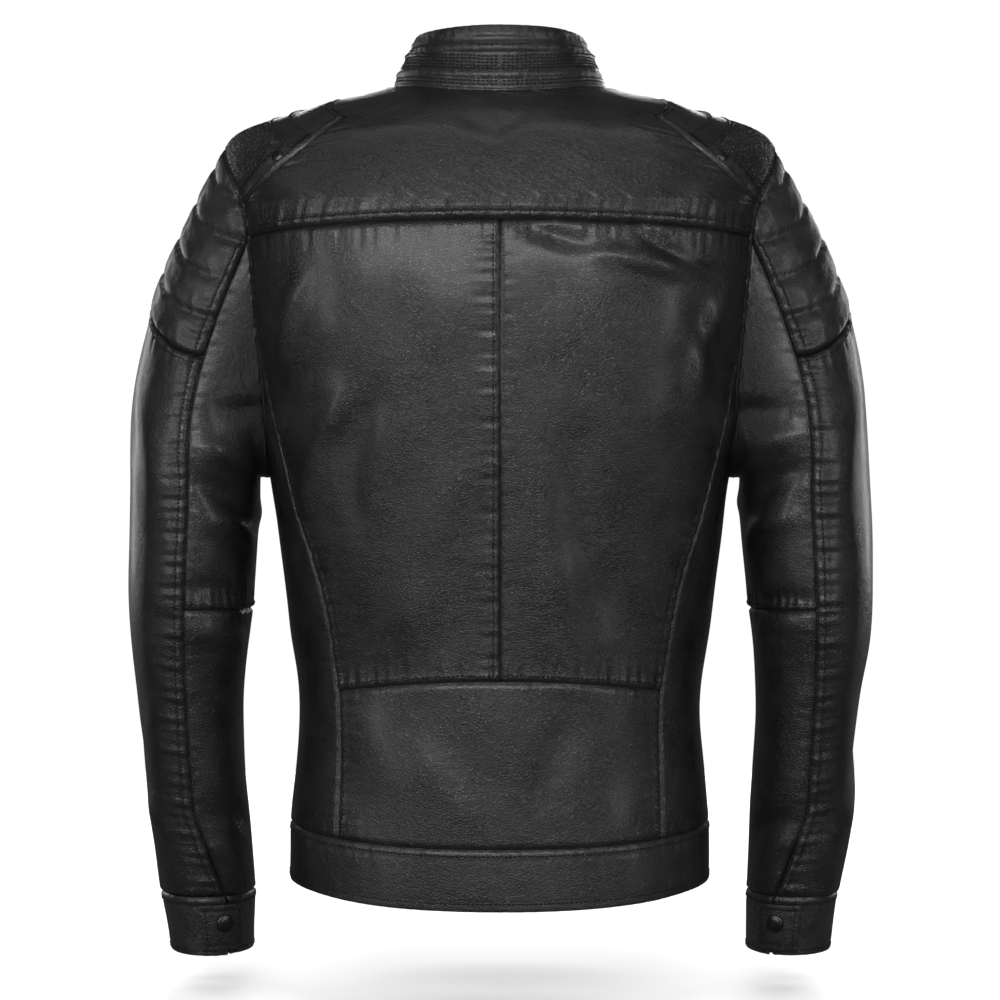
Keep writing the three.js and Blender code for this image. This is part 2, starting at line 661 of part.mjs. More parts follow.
// A short zip on the outside of a front: a straight strip, with a slider that runs along it.
function pocketZip(name, sliderName, from, length, group) {
  const stretch = bodyPoint(...placeSeen(from.x, from.z, true));
  const away = new THREE.Vector2(from.toX - from.x, from.toZ - from.z).normalize().multiplyScalar(length);
  const end = bodyPoint(...placeSeen(from.x + away.x, from.z + away.y, true));
  const run = end.clone().sub(stretch).normalize();
  const middle = stretch.clone().add(end).multiplyScalar(0.5);
  const out = normalOf(bodySurface, ...placeSeen(middle.x, middle.z, true));
  const across = run.clone().cross(out).normalize();
  const face = across.clone().cross(run).normalize();
  const heights = [0, 0.25, 0.5, 0.75, 1].flatMap((share) => [-1, 1].map((side) => {
    const under = stretch.clone().lerp(end, share).addScaledVector(across, side * POCKET_ZIP_WIDTH / 2);
    return bodyPoint(...placeSeen(under.x, under.z, true)).sub(middle).dot(face);
  }));
  const frame = new THREE.Group();
  frame.matrix.makeBasis(across, face.clone().negate(), run.clone().negate());
  frame.matrix.setPosition(middle.clone().addScaledVector(face, Math.max(...heights) + 2 * TOUCH));
  frame.matrixAutoUpdate = false;
  group.add(frame);
  const strip = 1.4;
  add(name, block(POCKET_ZIP_WIDTH, strip, length, 0, -strip / 2, 0), METAL_LOOK, frame);
  const slider = add(
    sliderName,
    union(sliderGeometry().scale(0.8, 0.8, 0.8), block(4.4, 1.2, 22, 0, -4.4, -13)),
    METAL_LOOK,
    frame,
  );
  slider.position.set(0, -strip - TOUCH, length / 2 - 7);
}

function disc(radius, height, dome) {
  const profile = [[0, 0], [radius, 0], [radius, height * 0.5], [radius * 0.8, height], [0, height + dome]];
  return new THREE.LatheGeometry(profile.map(([x, y]) => new THREE.Vector2(x, y)), 14);
}

// Stands a round piece on a surface, its foot lift above it.
function standOn(mesh, surface, place, lift) {
  const normal = normalOf(surface, ...place);
  mesh.quaternion.setFromUnitVectors(new THREE.Vector3(0, 1, 0), normal);
  mesh.position.copy(surface.point(...place)).addScaledVector(normal, lift);
  return mesh;
}

const HAND_POCKET = { x: 56, z: -392, toX: 78, toZ: -520 };
const CHEST_POCKET = { x: 34, z: -196, toX: 118, toZ: -222 };

function fastenings() {
  mainZip();
  mainSlider();
  pocketZip('hand_pocket_zip_left', 'hand_pocket_slider_left', HAND_POCKET, POCKET_LENGTH, leftSide);
  pocketZip('hand_pocket_zip_right', 'hand_pocket_slider_right', HAND_POCKET, POCKET_LENGTH, rightSide);
  pocketZip('chest_pocket_zip', 'chest_pocket_slider', CHEST_POCKET, CHEST_POCKET_LENGTH, leftSide);
  const snapPlace = placeSeen(170, -54, false);
  const snapLift = -0.6; // the patch's flat faces lie a little under the smooth surface
  const stand = (mesh) => standOn(mesh, bodySurface, snapPlace, snapLift);
  addPair('shoulder_snap', disc(5, 1.6, 0.6), METAL_LOOK, stand);
  collarTab();
}

// The collar's snap tab: sewn to the left front, closed over the right.
const TAB = { from: 27, to: -23, height: 24, thickness: 2.4, z: -26 };

function collarTab() {
  const depth = zipDepth(TAB.z) + 1.8;
  const frame = new THREE.Group();
  frame.position.set(0, -depth, TAB.z);
  frame.rotation.x = -zipTilt;
  jacket.add(frame);
  const shape = new THREE.Shape();
  const half = TAB.height / 2;
  shape.moveTo(TAB.from, -half);
  shape.lineTo(TAB.from, half);
  shape.lineTo(TAB.to + 8, half);
  shape.absarc(TAB.to + 8, half - 8, 8, Math.PI / 2, Math.PI, false);
  shape.absarc(TAB.to + 8, 8 - half, 8, Math.PI, 1.5 * Math.PI, false);
  shape.closePath();
  const options = { depth: TAB.thickness, bevelEnabled: false, curveSegments: 5 };
  const tab = new THREE.ExtrudeGeometry(shape, options);
  tab.rotateX(Math.PI / 2);
  add('collar_tab', tab, TRIM_LOOK, frame);
  const snapX = TAB.to + 11;
  const cap = add('collar_snap_cap', disc(SNAP_RADIUS, 1.8, 0.5), METAL_LOOK, frame);
  cap.rotation.x = Math.PI;
  cap.position.set(snapX, -TAB.thickness - TOUCH, 0);
  const stud = add('collar_snap_stud', disc(SNAP_RADIUS - 2, 1, 0.2), METAL_LOOK, frame);
  stud.rotation.x = Math.PI;
  stud.position.set(snapX, 1.6, 0);
}

function hangerLoop() {
  const half = 32;
  const inside = bodyPoint(0, NECK).y - LINING_DEPTH - LINING - 3;
  const route = new THREE.CatmullRomCurve3([
    new THREE.Vector3(-half, inside, -6),
    new THREE.Vector3(-half * 0.6, inside - 6, -13),
    new THREE.Vector3(0, inside - 6, -16),
    new THREE.Vector3(half * 0.6, inside - 6, -13),
    new THREE.Vector3(half, inside, -6),
  ]);
  const section = new THREE.Shape();
  section.absellipse(0, 0, 1.2, 3, 0, 2 * Math.PI);
  const loop = new THREE.ExtrudeGeometry(section, { steps: 16, extrudePath: route, curveSegments: 4 });
  add('hanger_loop', loop, TRIM_LOOK);
}

// ---- Sleeves ----
// around runs like the armhole's swing: 0 outside, 90 behind, 180 inside, 270 in front.
// along runs from 0 at the armhole through 1 at the upper arm and 2 at the elbow to 5 at the cuff's edge.
const CUFF = 4.4;
const CUFF_EDGE = 5.4;
const sleeveOut = CHEST_HALF_WIDTH + SLEEVE_WIDTH / 2; // from the middle of the jacket to a sleeve's
const sleeveRings = [
  { x: sleeveOut - 4, y: 2, halfWidth: SLEEVE_WIDTH / 2, halfDepth: SLEEVE_DEPTH / 2, z: -300, at: 1 },
  {
    x: sleeveOut, y: 4, halfWidth: SLEEVE_WIDTH / 2 - 3.5, halfDepth: SLEEVE_DEPTH / 2 - 6,
    z: -ELBOW_DROP, at: 2,
  },
  { x: sleeveOut - 0.5, y: -2, halfWidth: 41.5, halfDepth: 58, z: -477, at: 3 },
  { x: sleeveOut - 4.5, y: -12, halfWidth: 40.5, halfDepth: 53, z: -563, at: 3.9 },
  { x: sleeveOut - 11, y: -20, halfWidth: 37.5, halfDepth: 48, z: -CUFF_DROP, at: CUFF },
  { x: sleeveOut - 14, y: -24, halfWidth: 33.5, halfDepth: 44, z: -CUFF_DROP - CUFF_HEIGHT, at: CUFF_EDGE },
];

function sleeveRing(along) {
  const ring = {};
  const last = sleeveRings.length - 1;
  let start = 0;
  while (start < last - 1 && along > sleeveRings[start + 1].at) start += 1;
  const place = start + (along - sleeveRings[start].at) / (sleeveRings[start + 1].at - sleeveRings[start].at);
  for (const key of ['x', 'y', 'halfWidth', 'halfDepth', 'z']) {
    ring[key] = through(sleeveRings.map((row) => row[key]), place);
  }
  return ring;
}

function ringPoint(ring, around) {
  return new THREE.Vector3(
    ring.x + ring.halfWidth * Math.cos(radians(around)),
    ring.y + ring.halfDepth * Math.sin(radians(around)),
    ring.z,
  );
}

function sleevePoint(around, along) {
  if (along >= 1) return ringPoint(sleeveRing(along), around);
  const start = bodyPoint(...armhole(around));
  const end = ringPoint(sleeveRing(1), around);
  const reach = start.distanceTo(end);
  const lean = radians(mix(20, 32, (1 + Math.cos(radians(around))) / 2));
  const out = new THREE.Vector3(Math.sin(lean), 0, -Math.cos(lean)).multiplyScalar(1.2 * reach);
  const down = new THREE.Vector3(0, 0, -reach);
  const t = along;
  return start.multiplyScalar(2 * t ** 3 - 3 * t ** 2 + 1)
    .addScaledVector(out, t ** 3 - 2 * t ** 2 + t)
    .addScaledVector(end, 3 * t ** 2 - 2 * t ** 3)
    .addScaledVector(down, t ** 3 - t ** 2);
}

const sleeveSurface = { point: sleevePoint, outward: -1 };
const QUILT_END = 0.5;
const SLEEVE_ROWS = 5;

const backSeamAt = (along) => {
  if (along < 1) return mix(SLEEVE_SWING, 93, along);
  return mix(93, 122, clamp((along - 3.9) / (CUFF - 3.9), 0, 1));
};
const frontSeamAt = (along) => mix(-FRONT_YOKE_SWING, -90, Math.min(along, 1));

// How far the elbow's notch opens above and below the elbow line.
function notch(around) {
  const ring = sleeveRing(2);
  const forward = -Math.sin(radians(around)) * ring.halfDepth + 6;
  return Math.max(0, forward) * Math.tan(radians(ELBOW_BEND / 2));
}

const aboveElbow = (around) => 2 - notch(around) / (ELBOW_DROP - 300);
const belowElbow = (around) => 2 + notch(around) / (477 - ELBOW_DROP);

// A panel between two edges that run down the sleeve, from one level to another.
function sleevePanel(arounds, top, bottom, rows = SLEEVE_ROWS) {
  return steps(rows, (down) => arounds.map((place) => {
    const along = mix(top(place(1)), bottom(place(2)), down);
    return [place(along), along];
  }));
}

// Places across the outer half of the sleeve, from the back seam round the outside to the front seam.
const outerSwings = [78, 64, 48, 32, 16, 0, -16, -32, -48, -64, -84];
const underSwings = [
  ...steps(3, (share) => mix(78, 116, share)),
  ...steps(6, (share) => mix(116, 244, share)).slice(1),
  ...steps(3, (share) => mix(244, 276, share)).slice(1),
];

function seamwise(swings, startAt, endAt) {
  const first = swings[0];
  const last = swings.at(-1);
  return swings.map((swing) => (along) => {
    const share = (swing - first) / (last - first);
    return along === 0 ? swing : mix(startAt(along), endAt(along), share);
  });
}

function sleeves() {
  const outer = seamwise(outerSwings, backSeamAt, frontSeamAt);
  const under = seamwise(underSwings, backSeamAt, (along) => 360 + frontSeamAt(along));
  const at = (value) => () => value;
  const panel = (...args) => sheet(sleeveSurface, sleevePanel(...args));
  addPair('sleeve_quilt', panel(outer, at(0), at(QUILT_END)), QUILT_LOOK);
  addPair('sleeve_upper_outer', panel(outer, at(QUILT_END), aboveElbow), LEATHER_LOOK);
  const underHead = sleevePanel(under, at(0), at(QUILT_END));
  const underArm = sleevePanel(under, at(QUILT_END), aboveElbow);
  addPair('sleeve_upper_under', sheet(sleeveSurface, [...underHead, ...underArm.slice(1)]), LEATHER_LOOK);
  addPair('sleeve_lower_outer', panel(outer, belowElbow, at(CUFF)), LEATHER_LOOK);
  addPair('sleeve_lower_under', panel(under, belowElbow, at(CUFF)), LEATHER_LOOK);

  const vent = backSeamAt(CUFF);
  const cuffGrid = [CUFF, CUFF_EDGE].map((along) => steps(22, (share) => [vent + 2 + share * 356, along]));
  addPair('cuff', sheet(sleeveSurface, cuffGrid), TRIM_LOOK);

  const tabGap = 1.6;
  const tabRow = (along) => steps(5, (share) => [mix(88, 139, share), along]);
  const tabGrid = [CUFF + 0.1, CUFF_EDGE - 0.1].map(tabRow);
  const tabSize = { thickness: LEATHER, depth: -tabGap - LEATHER, inset: 0 };
  addPair('cuff_tab', sheet(sleeveSurface, tabGrid, tabSize), TRIM_LOOK);
  const snapPlace = [115, (CUFF + CUFF_EDGE) / 2 - 0.1];
  const stand = (lift) => (mesh) => standOn(mesh, sleeveSurface, snapPlace, lift);
  addPair('cuff_snap_cap', disc(SNAP_RADIUS, 1.8, 0.5), METAL_LOOK, stand(tabGap + LEATHER + TOUCH));
  addPair('cuff_snap_stud', disc(SNAP_RADIUS - 2, 0.8, 0.1), METAL_LOOK, stand(TOUCH));
}

const { hemBack, sideBottom } = backPanels();
const sideHem = shoulders();
frontPanels();
edges(hemBack, sideBottom, sideHem);
fastenings();
hangerLoop();
sleeves();

export default jacket;
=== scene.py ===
import bpy
import numpy as np
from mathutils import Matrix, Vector


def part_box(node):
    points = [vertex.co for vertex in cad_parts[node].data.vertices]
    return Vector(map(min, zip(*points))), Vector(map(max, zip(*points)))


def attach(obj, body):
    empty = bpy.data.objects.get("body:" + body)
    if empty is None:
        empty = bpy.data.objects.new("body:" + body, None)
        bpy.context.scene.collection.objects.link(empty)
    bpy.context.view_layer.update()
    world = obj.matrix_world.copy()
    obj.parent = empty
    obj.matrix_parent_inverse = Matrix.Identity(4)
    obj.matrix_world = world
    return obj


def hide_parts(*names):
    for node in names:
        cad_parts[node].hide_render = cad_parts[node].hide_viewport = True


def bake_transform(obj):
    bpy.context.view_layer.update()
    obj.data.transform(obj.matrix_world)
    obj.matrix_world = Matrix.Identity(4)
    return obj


MM = 0.001
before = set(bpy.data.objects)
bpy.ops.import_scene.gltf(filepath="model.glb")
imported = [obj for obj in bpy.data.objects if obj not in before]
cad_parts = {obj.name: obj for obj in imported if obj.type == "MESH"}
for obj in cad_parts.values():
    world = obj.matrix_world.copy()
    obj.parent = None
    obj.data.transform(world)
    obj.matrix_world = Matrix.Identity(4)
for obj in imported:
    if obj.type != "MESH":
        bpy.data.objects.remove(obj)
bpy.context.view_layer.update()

# ---- Driving dimensions ----
PITCH = 2.6  # between the points of a leather panel
SKIN = 2.4  # how far a panel's edge turns in
LINING_DEPTH = 5.4
SLEEVE_LINING_DEPTH = 4.2
THREAD = 0.55  # radius
STITCH_PITCH = 3.4
STITCH_LENGTH = 2.5
PLACKET_HALF_GAP = 9
ZIP_PITCH = 2.4
ZIP_SINK = 4.2  # from the front line in to the middle of the tapes
SLEEVE_MIDDLE = 240  # from the middle of the jacket
VENT_GAP = 1.6  # half the slit over the cuff
BODY_FOLDS_DEEPER = 2.2
SLEEVE_FOLDS_DEEPER = 1.35

# Levels up the body and down the sleeve.
NECK = 9
COLLAR_EDGE = 10
HEM = 0
HEM_SEAM = 1
CUFF = 4.4
CUFF_EDGE = 5.4
ELBOW = 2

rng = np.random.default_rng(41)


# ---- The body surface: rings from the hem (0) to the neck (9) and the collar's top (10) ----
RINGS = {
    "side": [167, 166, 160, 168, 182, 195, 204, 216, 160, 86],
    "side_z": [-615, -571, -478, -410, -298, -180, -100, -38, -10, 12],
    "back": [125, 124, 119, 122, 132, 138, 134, 118, 98, 70],
    "back_z": [-626, -580, -458, -390, -285, -180, -107, -52, -22, 0],
    "front_z": [-622, -576, -470, -390, -285, -190, -130, -95, -72, -50],
    "round": [2.4, 2.4, 2.3, 2.4, 2.6, 3, 3, 2.6, 2.3, 2],
}
COLLAR_TOP = {"side": 69, "side_z": 51, "back": 60, "back_z": 52, "front_z": -2, "round": 2}
FOLD_DEPTH = 12


def mix(a, b, share):
    return a + (b - a) * share


def smooth(low, high, value):
    share = np.clip((value - low) / (high - low), 0, 1)
    return share * share * (3 - 2 * share)


def through(values, place):
    """A smooth curve through one value for each station, at any place between them."""
    values = np.asarray(values, float)
    last = len(values) - 1
    start = np.clip(np.floor(place).astype(int), 0, last - 1)
    share = place - start
    slopes = np.gradient(values)
    rise = values[start + 1] - values[start]
    a, b = slopes[start], slopes[start + 1]
    return values[start] + a * share + (3 * rise - 2 * a - b) * share**2 + (a + b - 2 * rise) * share**3


def zip_depth(z):
    return mix(84, 120, (-50 - z) / 572)


def ring_at(level):
    level = np.asarray(level, float)
    ring = {}
    for key, values in RINGS.items():
        above = mix(values[NECK], COLLAR_TOP[key], level - NECK)
        ring[key] = np.where(level > NECK, above, through(values, np.minimum(level, NECK)))
    ring["front"] = zip_depth(ring["front_z"])
    return ring


def body_point(turn, level):
    """turn is 0 at the middle of the back, 90 at the wearer's left side and 180 in front."""
    ring = ring_at(level)
    across, along = np.sin(np.radians(turn)), np.cos(np.radians(turn))
    power = 2 / ring["round"]
    depth = np.where(along > 0, ring["back"], -ring["front"])
    height = np.where(along > 0, ring["back_z"], ring["front_z"])
    return np.stack(
        [
            ring["side"] * np.sign(across) * np.abs(across) ** power,
            depth * np.abs(along) ** power,
            ring["side_z"] * across**2 + height * along**2,
        ],
        axis=-1,
    )


def bisect(low, high, too_low, size):
    low, high = np.full(size, float(low)), np.full(size, float(high))
    for _ in range(40):
        middle = (low + high) / 2
        below = too_low(middle)
        low, high = np.where(below, middle, low), np.where(below, high, middle)
    return (low + high) / 2


def turn_at(x, level, in_front=False):
    ring = ring_at(level)
    across = np.clip(np.abs(x) / ring["side"], 0, 1) ** (ring["round"] / 2)
    turn = np.sign(x) * np.degrees(np.arcsin(across))
    return np.sign(x) * 180 - turn if in_front else turn


def place_seen(x, z, in_front=False):
    """The places on the body that are seen at (x, z) from straight behind or in front."""
    x, z = np.broadcast_arrays(np.asarray(x, float), np.asarray(z, float))

    def below(trial):
        return body_point(turn_at(x, trial, in_front), trial)[..., 2] < z

    level = bisect(HEM, NECK, below, x.shape)
    return np.stack([turn_at(x, level, in_front), level], axis=-1)


def armhole(swing):
    """swing is 0 at the shoulder tip, 90 behind, 180 at the armpit and 270 in front."""
    swing = np.asarray(swing, float)
    level = 5.5 + 1.5 * np.cos(np.radians(swing))
    behind = np.sin(np.radians(swing)) >= 0
    reach = np.where(behind, 66, 56) * np.abs(np.sin(np.radians(swing))) ** 0.85
    ring = ring_at(level)
    share = np.clip(reach / np.where(behind, ring["back"], ring["front"]), 0, 1)
    turn = np.degrees(np.arccos(share ** (ring["round"] / 2)))
    return np.stack([np.where(behind, turn, 180 - turn), level], axis=-1)


def fold_seam(level):
    level = np.asarray(level, float)

    def inside(turn):
        point = body_point(turn, level)
        return point[..., 1] > FOLD_DEPTH - zip_depth(point[..., 2])

    return np.stack([bisect(91, 180, inside, level.shape), level], axis=-1)


def zip_edge(level, x=PLACKET_HALF_GAP):
    level = np.asarray(level, float)
    return np.stack([turn_at(np.full(level.shape, float(x)), level, True), level], axis=-1)


# ---- The sleeve surface ----
SLEEVE_RINGS = {
    "x": [243, 247, 246.5, 242.5, 236, 233],
    "y": [2, 4, -2, -12, -20, -24],
    "half_width": [52, 48.5, 41.5, 40.5, 37.5, 33.5],
    "half_depth": [72, 66, 58, 53, 48, 44],
    "z": [-300, -403, -477, -563, -631, -678],
}
SLEEVE_STATIONS = [1, 2, 3, 3.9, 4.4, 5.4]


def sleeve_ring_point(around, along):
    place = np.interp(along, SLEEVE_STATIONS, range(len(SLEEVE_STATIONS)))
    ring = {key: through(values, place) for key, values in SLEEVE_RINGS.items()}
    x = ring["x"] + ring["half_width"] * np.cos(np.radians(around))
    y = ring["y"] + ring["half_depth"] * np.sin(np.radians(around))
    return np.stack([x, y, ring["z"]], axis=-1)


def sleeve_point(around, along):
    """around follows the armhole's swing; along is 0 at the armhole, ELBOW, CUFF and CUFF_EDGE."""
    around, along = np.broadcast_arrays(np.asarray(around, float), np.asarray(along, float))
    place = armhole(around)
    start = body_point(place[..., 0], place[..., 1])
    end = sleeve_ring_point(around, np.ones_like(along))
    reach = np.linalg.norm(end - start, axis=-1)
    lean = np.radians(mix(20, 32, (1 + np.cos(np.radians(around))) / 2))
    out = np.stack([np.sin(lean), np.zeros_like(lean), -np.cos(lean)], axis=-1) * (1.2 * reach)[..., None]
    down = np.stack([np.zeros_like(reach), np.zeros_like(reach), -reach], axis=-1)
    t = np.minimum(along, 1)[..., None]
    head = (
        start * (2 * t**3 - 3 * t**2 + 1)
        + out * (t**3 - 2 * t**2 + t)
        + end * (3 * t**2 - 2 * t**3)
        + down * (t**3 - t**2)
    )
    return np.where(along[..., None] < 1, head, sleeve_ring_point(around, np.maximum(along, 1)))


def on_surface(surface, grid, side=1):
    """The points of a grid of places, with side -1 for the wearer's right."""
    return surface(grid[..., 0], grid[..., 1]) * [side, 1, 1]


def back_seam_around(along):
    upper = mix(78, 93, np.minimum(along, 1))
    return upper + (122 - 93) * np.clip((along - 3.9) / (CUFF - 3.9), 0, 1)


def front_seam_around(along):
    return mix(-84, -90, np.minimum(along, 1))


# ---- Grids of places on a surface ----
def line(start, end, count=160):
    share = np.linspace(0, 1, count + 1)[:, None]
    return np.asarray(start, float) * (1 - share) + np.asarray(end, float) * share


def chain(*edges):
    return np.concatenate([edges[0]] + [edge[1:] for edge in edges[1:]])


def unit(ways):
    return ways / np.linalg.norm(ways, axis=-1)[..., None]


def square_to(way, up):
    """The ways of up, turned square to way."""
    return unit(up - way * (up * way).sum(axis=1)[:, None])


def lengths_along(points, axis):
    gaps = np.linalg.norm(np.diff(points, axis=axis), axis=-1)
    start = np.zeros_like(np.take(gaps, [0], axis=axis))
    return np.concatenate([start, np.cumsum(gaps, axis=axis)], axis=axis)


def every_few(points, step):
    """The rows and the columns of a grid that a coarser one keeps, its last ones among them."""
    return [np.unique(np.append(np.arange(0, size, step), size - 1)) for size in points.shape[:2]]


def even(edge, surface, count):
    """The same edge with count steps of even length."""
    far = lengths_along(surface(edge[:, 0], edge[:, 1]), 0)
    places = np.linspace(0, far[-1], count + 1)
    return np.stack([np.interp(places, far, edge[:, k]) for k in (0, 1)], axis=-1)


def even_rows(grid, surface, count):
    return np.stack([even(row, surface, count) for row in grid])


def edge_length(edge, surface):
    return lengths_along(surface(edge[:, 0], edge[:, 1]), 0)[-1]


def fill(surface, bottom, top, left, right, pitch=PITCH):
    """Fills the grid between four edges; bottom and top run one way, left and right run upwards."""
    columns = max(2, round(max(edge_length(bottom, surface), edge_length(top, surface)) / pitch))
    rows = max(2, round(max(edge_length(left, surface), edge_length(right, surface)) / pitch))
    bottom, top = even(bottom, surface, columns), even(top, surface, columns)
    left, right = even(left, surface, rows), even(right, surface, rows)
    u = np.linspace(0, 1, columns + 1)[None, :, None]
    v = np.linspace(0, 1, rows + 1)[:, None, None]
    flat = mix(mix(bottom[0], bottom[-1], u), mix(top[0], top[-1], u), v)
    grid = mix(bottom[None], top[None], v) + mix(left[:, None], right[:, None], u) - flat
    return even_rows(grid, surface, columns)


def between(surface, bottom, top, pitch=PITCH):
    """Fills the grid between two straight lines, each given by its two ends."""
    sides = [line(bottom[k], top[k]) for k in (0, 1)]
    return fill(surface, line(*bottom), line(*top), *sides, pitch)


def arched(surface, seam, side):
    """Fills the grid above a seam from one side edge to its mirror image, each row a flat arch."""
    out = np.linspace(-1, 1, len(seam))[None, :, None]
    rise = 1 - out**2
    middle_seam = seam[len(seam) // 2]
    rows = round(edge_length(side, surface) / PITCH)
    side = even(side, surface, rows)
    up = np.linspace(0, 1, rows + 1)[:, None, None]
    turn, level = side[:, None, :1], side[:, None, 1:]
    middle = mix(middle_seam[1], side[-1][1], up)
    seam_share = (1 - up) ** 3
    seam_level = seam[None, :, 1:] - mix(side[0][1], middle_seam[1], rise)
    turns = turn * out + (seam[None, :, :1] - side[0][0] * out) * seam_share
    levels = mix(level, middle, rise) + seam_level * seam_share
    columns = round(edge_length(seam, surface) / PITCH)
    return even_rows(np.concatenate([turns, levels], axis=-1), surface, columns)


# ---- Seams of the body ----
YOKE_END = body_point(*armhole(78))
side_share = np.linspace(-1, 1, 401)
yoke_seam = place_seen(side_share * YOKE_END[0], mix(-107, YOKE_END[2], side_share**2))
yoke_seam[0], yoke_seam[-1] = armhole(78) * [-1, 1], armhole(78)
WAIST_HALF = 124
waist_seam = place_seen(side_share * WAIST_HALF, mix(-454, -463, side_share**2))
hem_corner = np.array([turn_at(WAIST_HALF, HEM_SEAM), HEM_SEAM])
princess_below = line(hem_corner, waist_seam[-1])


def princess():
    """From the waist up the back to the armhole, a smooth curve through four places."""
    top = body_point(*armhole(116))
    x = np.array([WAIST_HALF, WAIST_HALF + 12, WAIST_HALF + 39, top[0]])
    z = np.array([-463, -392, -302, top[2]])
    place = np.linspace(0, 3, 200)
    edge = place_seen(through(x, place), through(z, place))
    edge[-1] = armhole(116)
    return edge


def armhole_edge(start, end, count=120):
    return armhole(np.linspace(start, end, count + 1))


princess_above = princess()
side_front = line([122, HEM_SEAM], armhole(-116))
patch_top = np.array([90, bisect(8, NECK, lambda level: ring_at(level)["side"] > 113, ())])
patch_back = place_seen(119, -21)
patch_front = place_seen(119, -27, True)


def patch_seam(corner, swing, in_front):
    start, end = body_point(*armhole(swing)), body_point(*corner)
    share = np.linspace(0, 1, 100)
    edge = place_seen(mix(start[0], end[0], share), mix(start[2], end[2], share), in_front)
    edge[0] = armhole(swing)
    return edge


patch_back_seam = patch_seam(patch_back, 64, False)
patch_front_seam = patch_seam(patch_front, -64, True)
patch_inner_back = line(patch_back, patch_top)
patch_inner_front = line(patch_front, patch_top)
ridge = line(patch_top, [90, NECK], 60)
front_yoke_seam = line(armhole(-84), fold_seam(6.6))


# ---- Shapes that leather takes ----
WAVE_WAYS = rng.normal(size=(26, 3))
WAVE_WAYS /= np.linalg.norm(WAVE_WAYS, axis=1)[:, None]
WAVE_LENGTHS = rng.uniform(34, 120, 26)
WAVE_STARTS = rng.uniform(0, 2 * np.pi, 26)


def ripple(points):
    """Slow unevenness of the leather, the same at a place whichever panel asks."""
    phase = points @ (WAVE_WAYS / WAVE_LENGTHS[:, None]).T * 2 * np.pi + WAVE_STARTS
    return np.sin(phase).mean(axis=-1) * 3.2


# Soft folds as seen from behind: start x, z, end x, z, half width and height; the front has its own.
BACK_FOLDS = [
    (120, -240, 150, -330, 10, 1.8),
    (96, -235, 112, -330, 12, -1.5),
    (-20, -112, -90, -126, 8, -1.6),
    (-60, -122, -150, -142, 9, 1.8),
    (-100, -112, -176, -150, 7, -1.5),
    (-150, -170, -178, -230, 9, -1.8),
    (-172, -160, -150, -240, 8, 1.6),
    (-30, -290, -70, -470, 22, 2.2),
    (-52, -270, -96, -420, 16, -1.6),
    (36, -300, 70, -430, 20, 1.3),
    (150, -150, 168, -215, 9, 1.7),
    (30, -20, -10, -34, 14, -1.4),
    (60, -500, 20, -560, 16, 1.0),
    (-60, -480, -30, -550, 15, -1.0),
]
FRONT_FOLDS = [
    (120, -170, 100, -300, 14, 2.0),
    (-118, -180, -104, -290, 13, 2.0),
    (60, -240, 72, -420, 18, 1.4),
    (-56, -260, -70, -400, 18, -1.4),
    (150, -150, 128, -220, 9, -1.7),
    (-152, -150, -130, -225, 9, 1.7),
]
# On a sleeve: start around, z, end around, z, half width and height.
SLEEVE_FOLDS = [
    (110, -245, 170, -262, 9, -3.2),
    (100, -275, 160, -300, 10, 3.4),
    (96, -300, 150, -330, 9, -3.0),
    (104, -330, 165, -352, 10, 2.6),
    (190, -290, 262, -320, 10, -3.0),
    (186, -325, 256, -350, 10, 2.6),
    (96, -385, 150, -392, 8, -1.8),
    (100, -420, 160, -428, 9, 1.8),
    (215, -385, 300, -372, 9, -3.0),
    (212, -405, 300, -404, 9, 3.2),
    (216, -428, 296, -436, 9, -2.6),
    (232, -455, 290, -470, 10, 2.0),
    (110, -560, 170, -575, 10, -1.8),
    (100, -590, 150, -606, 9, 1.6),
    (20, -560, 70, -590, 12, 1.4),
    (-60, -240, -20, -330, 14, 1.8),
    (30, -230, 64, -320, 14, 1.6),
    (-20, -480, 30, -540, 14, -1.2),
]


def fold_height(a, b, fold):
    """The height of one soft fold at (a, b) on a flat drawing of the leather."""
    start, end = np.array(fold[:2], float), np.array(fold[2:4], float)
    way = end - start
    length = np.linalg.norm(way)
    way /= length
    along = ((a - start[0]) * way[0] + (b - start[1]) * way[1]) / length
    bow = 0.06 * length * np.sin(np.clip(along, 0, 1) * np.pi)
    off = -(a - start[0]) * way[1] + (b - start[1]) * way[0] - bow
    fade = smooth(-0.25, 0.3, along) * smooth(1.25, 0.7, along)
    return fold[5] * np.exp(-((off / fold[4]) ** 2)) * fade


def body_folds(points):
    behind = smooth(-10, 40, points[..., 1])
    ahead = smooth(10, -40, points[..., 1])
    height = np.zeros(points.shape[:-1])
    for folds, weight in ((BACK_FOLDS, behind), (FRONT_FOLDS, ahead)):
        for fold in folds:
            height += BODY_FOLDS_DEEPER * weight * fold_height(points[..., 0], points[..., 2], fold)
    return height


def sleeve_folds(around, points, side):
    degree = 0.95  # millimetres of leather for one degree round the sleeve
    height = np.zeros(points.shape[:-1])
    for start, z1, end, z2, width, rise in SLEEVE_FOLDS:
        shift = 0 if side > 0 else 9 * np.sin(z1)
        fold = (start * degree, z1 + shift, end * degree, z2 + shift, width, rise)
        for turn in (-360, 0):
            height += fold_height((around + turn) * degree, points[..., 2], fold)
    below_shoulder = smooth(-150, -260, points[..., 2])
    sway = np.sin(points[..., 2] / 37 + around / 40 + side)
    return SLEEVE_FOLDS_DEEPER * height * below_shoulder + 0.8 * sway


def wave(along, shortest, phase):
    """An uneven wave along a seam."""
    return (
        np.sin(along / shortest * 2 * np.pi + phase)
        + 0.7 * np.sin(along / shortest / 1.61 * 2 * np.pi + 2 * phase)
        + 0.6 * np.sin(along / shortest / 2.7 * 2 * np.pi + 3 * phase)
    ) / 2.3


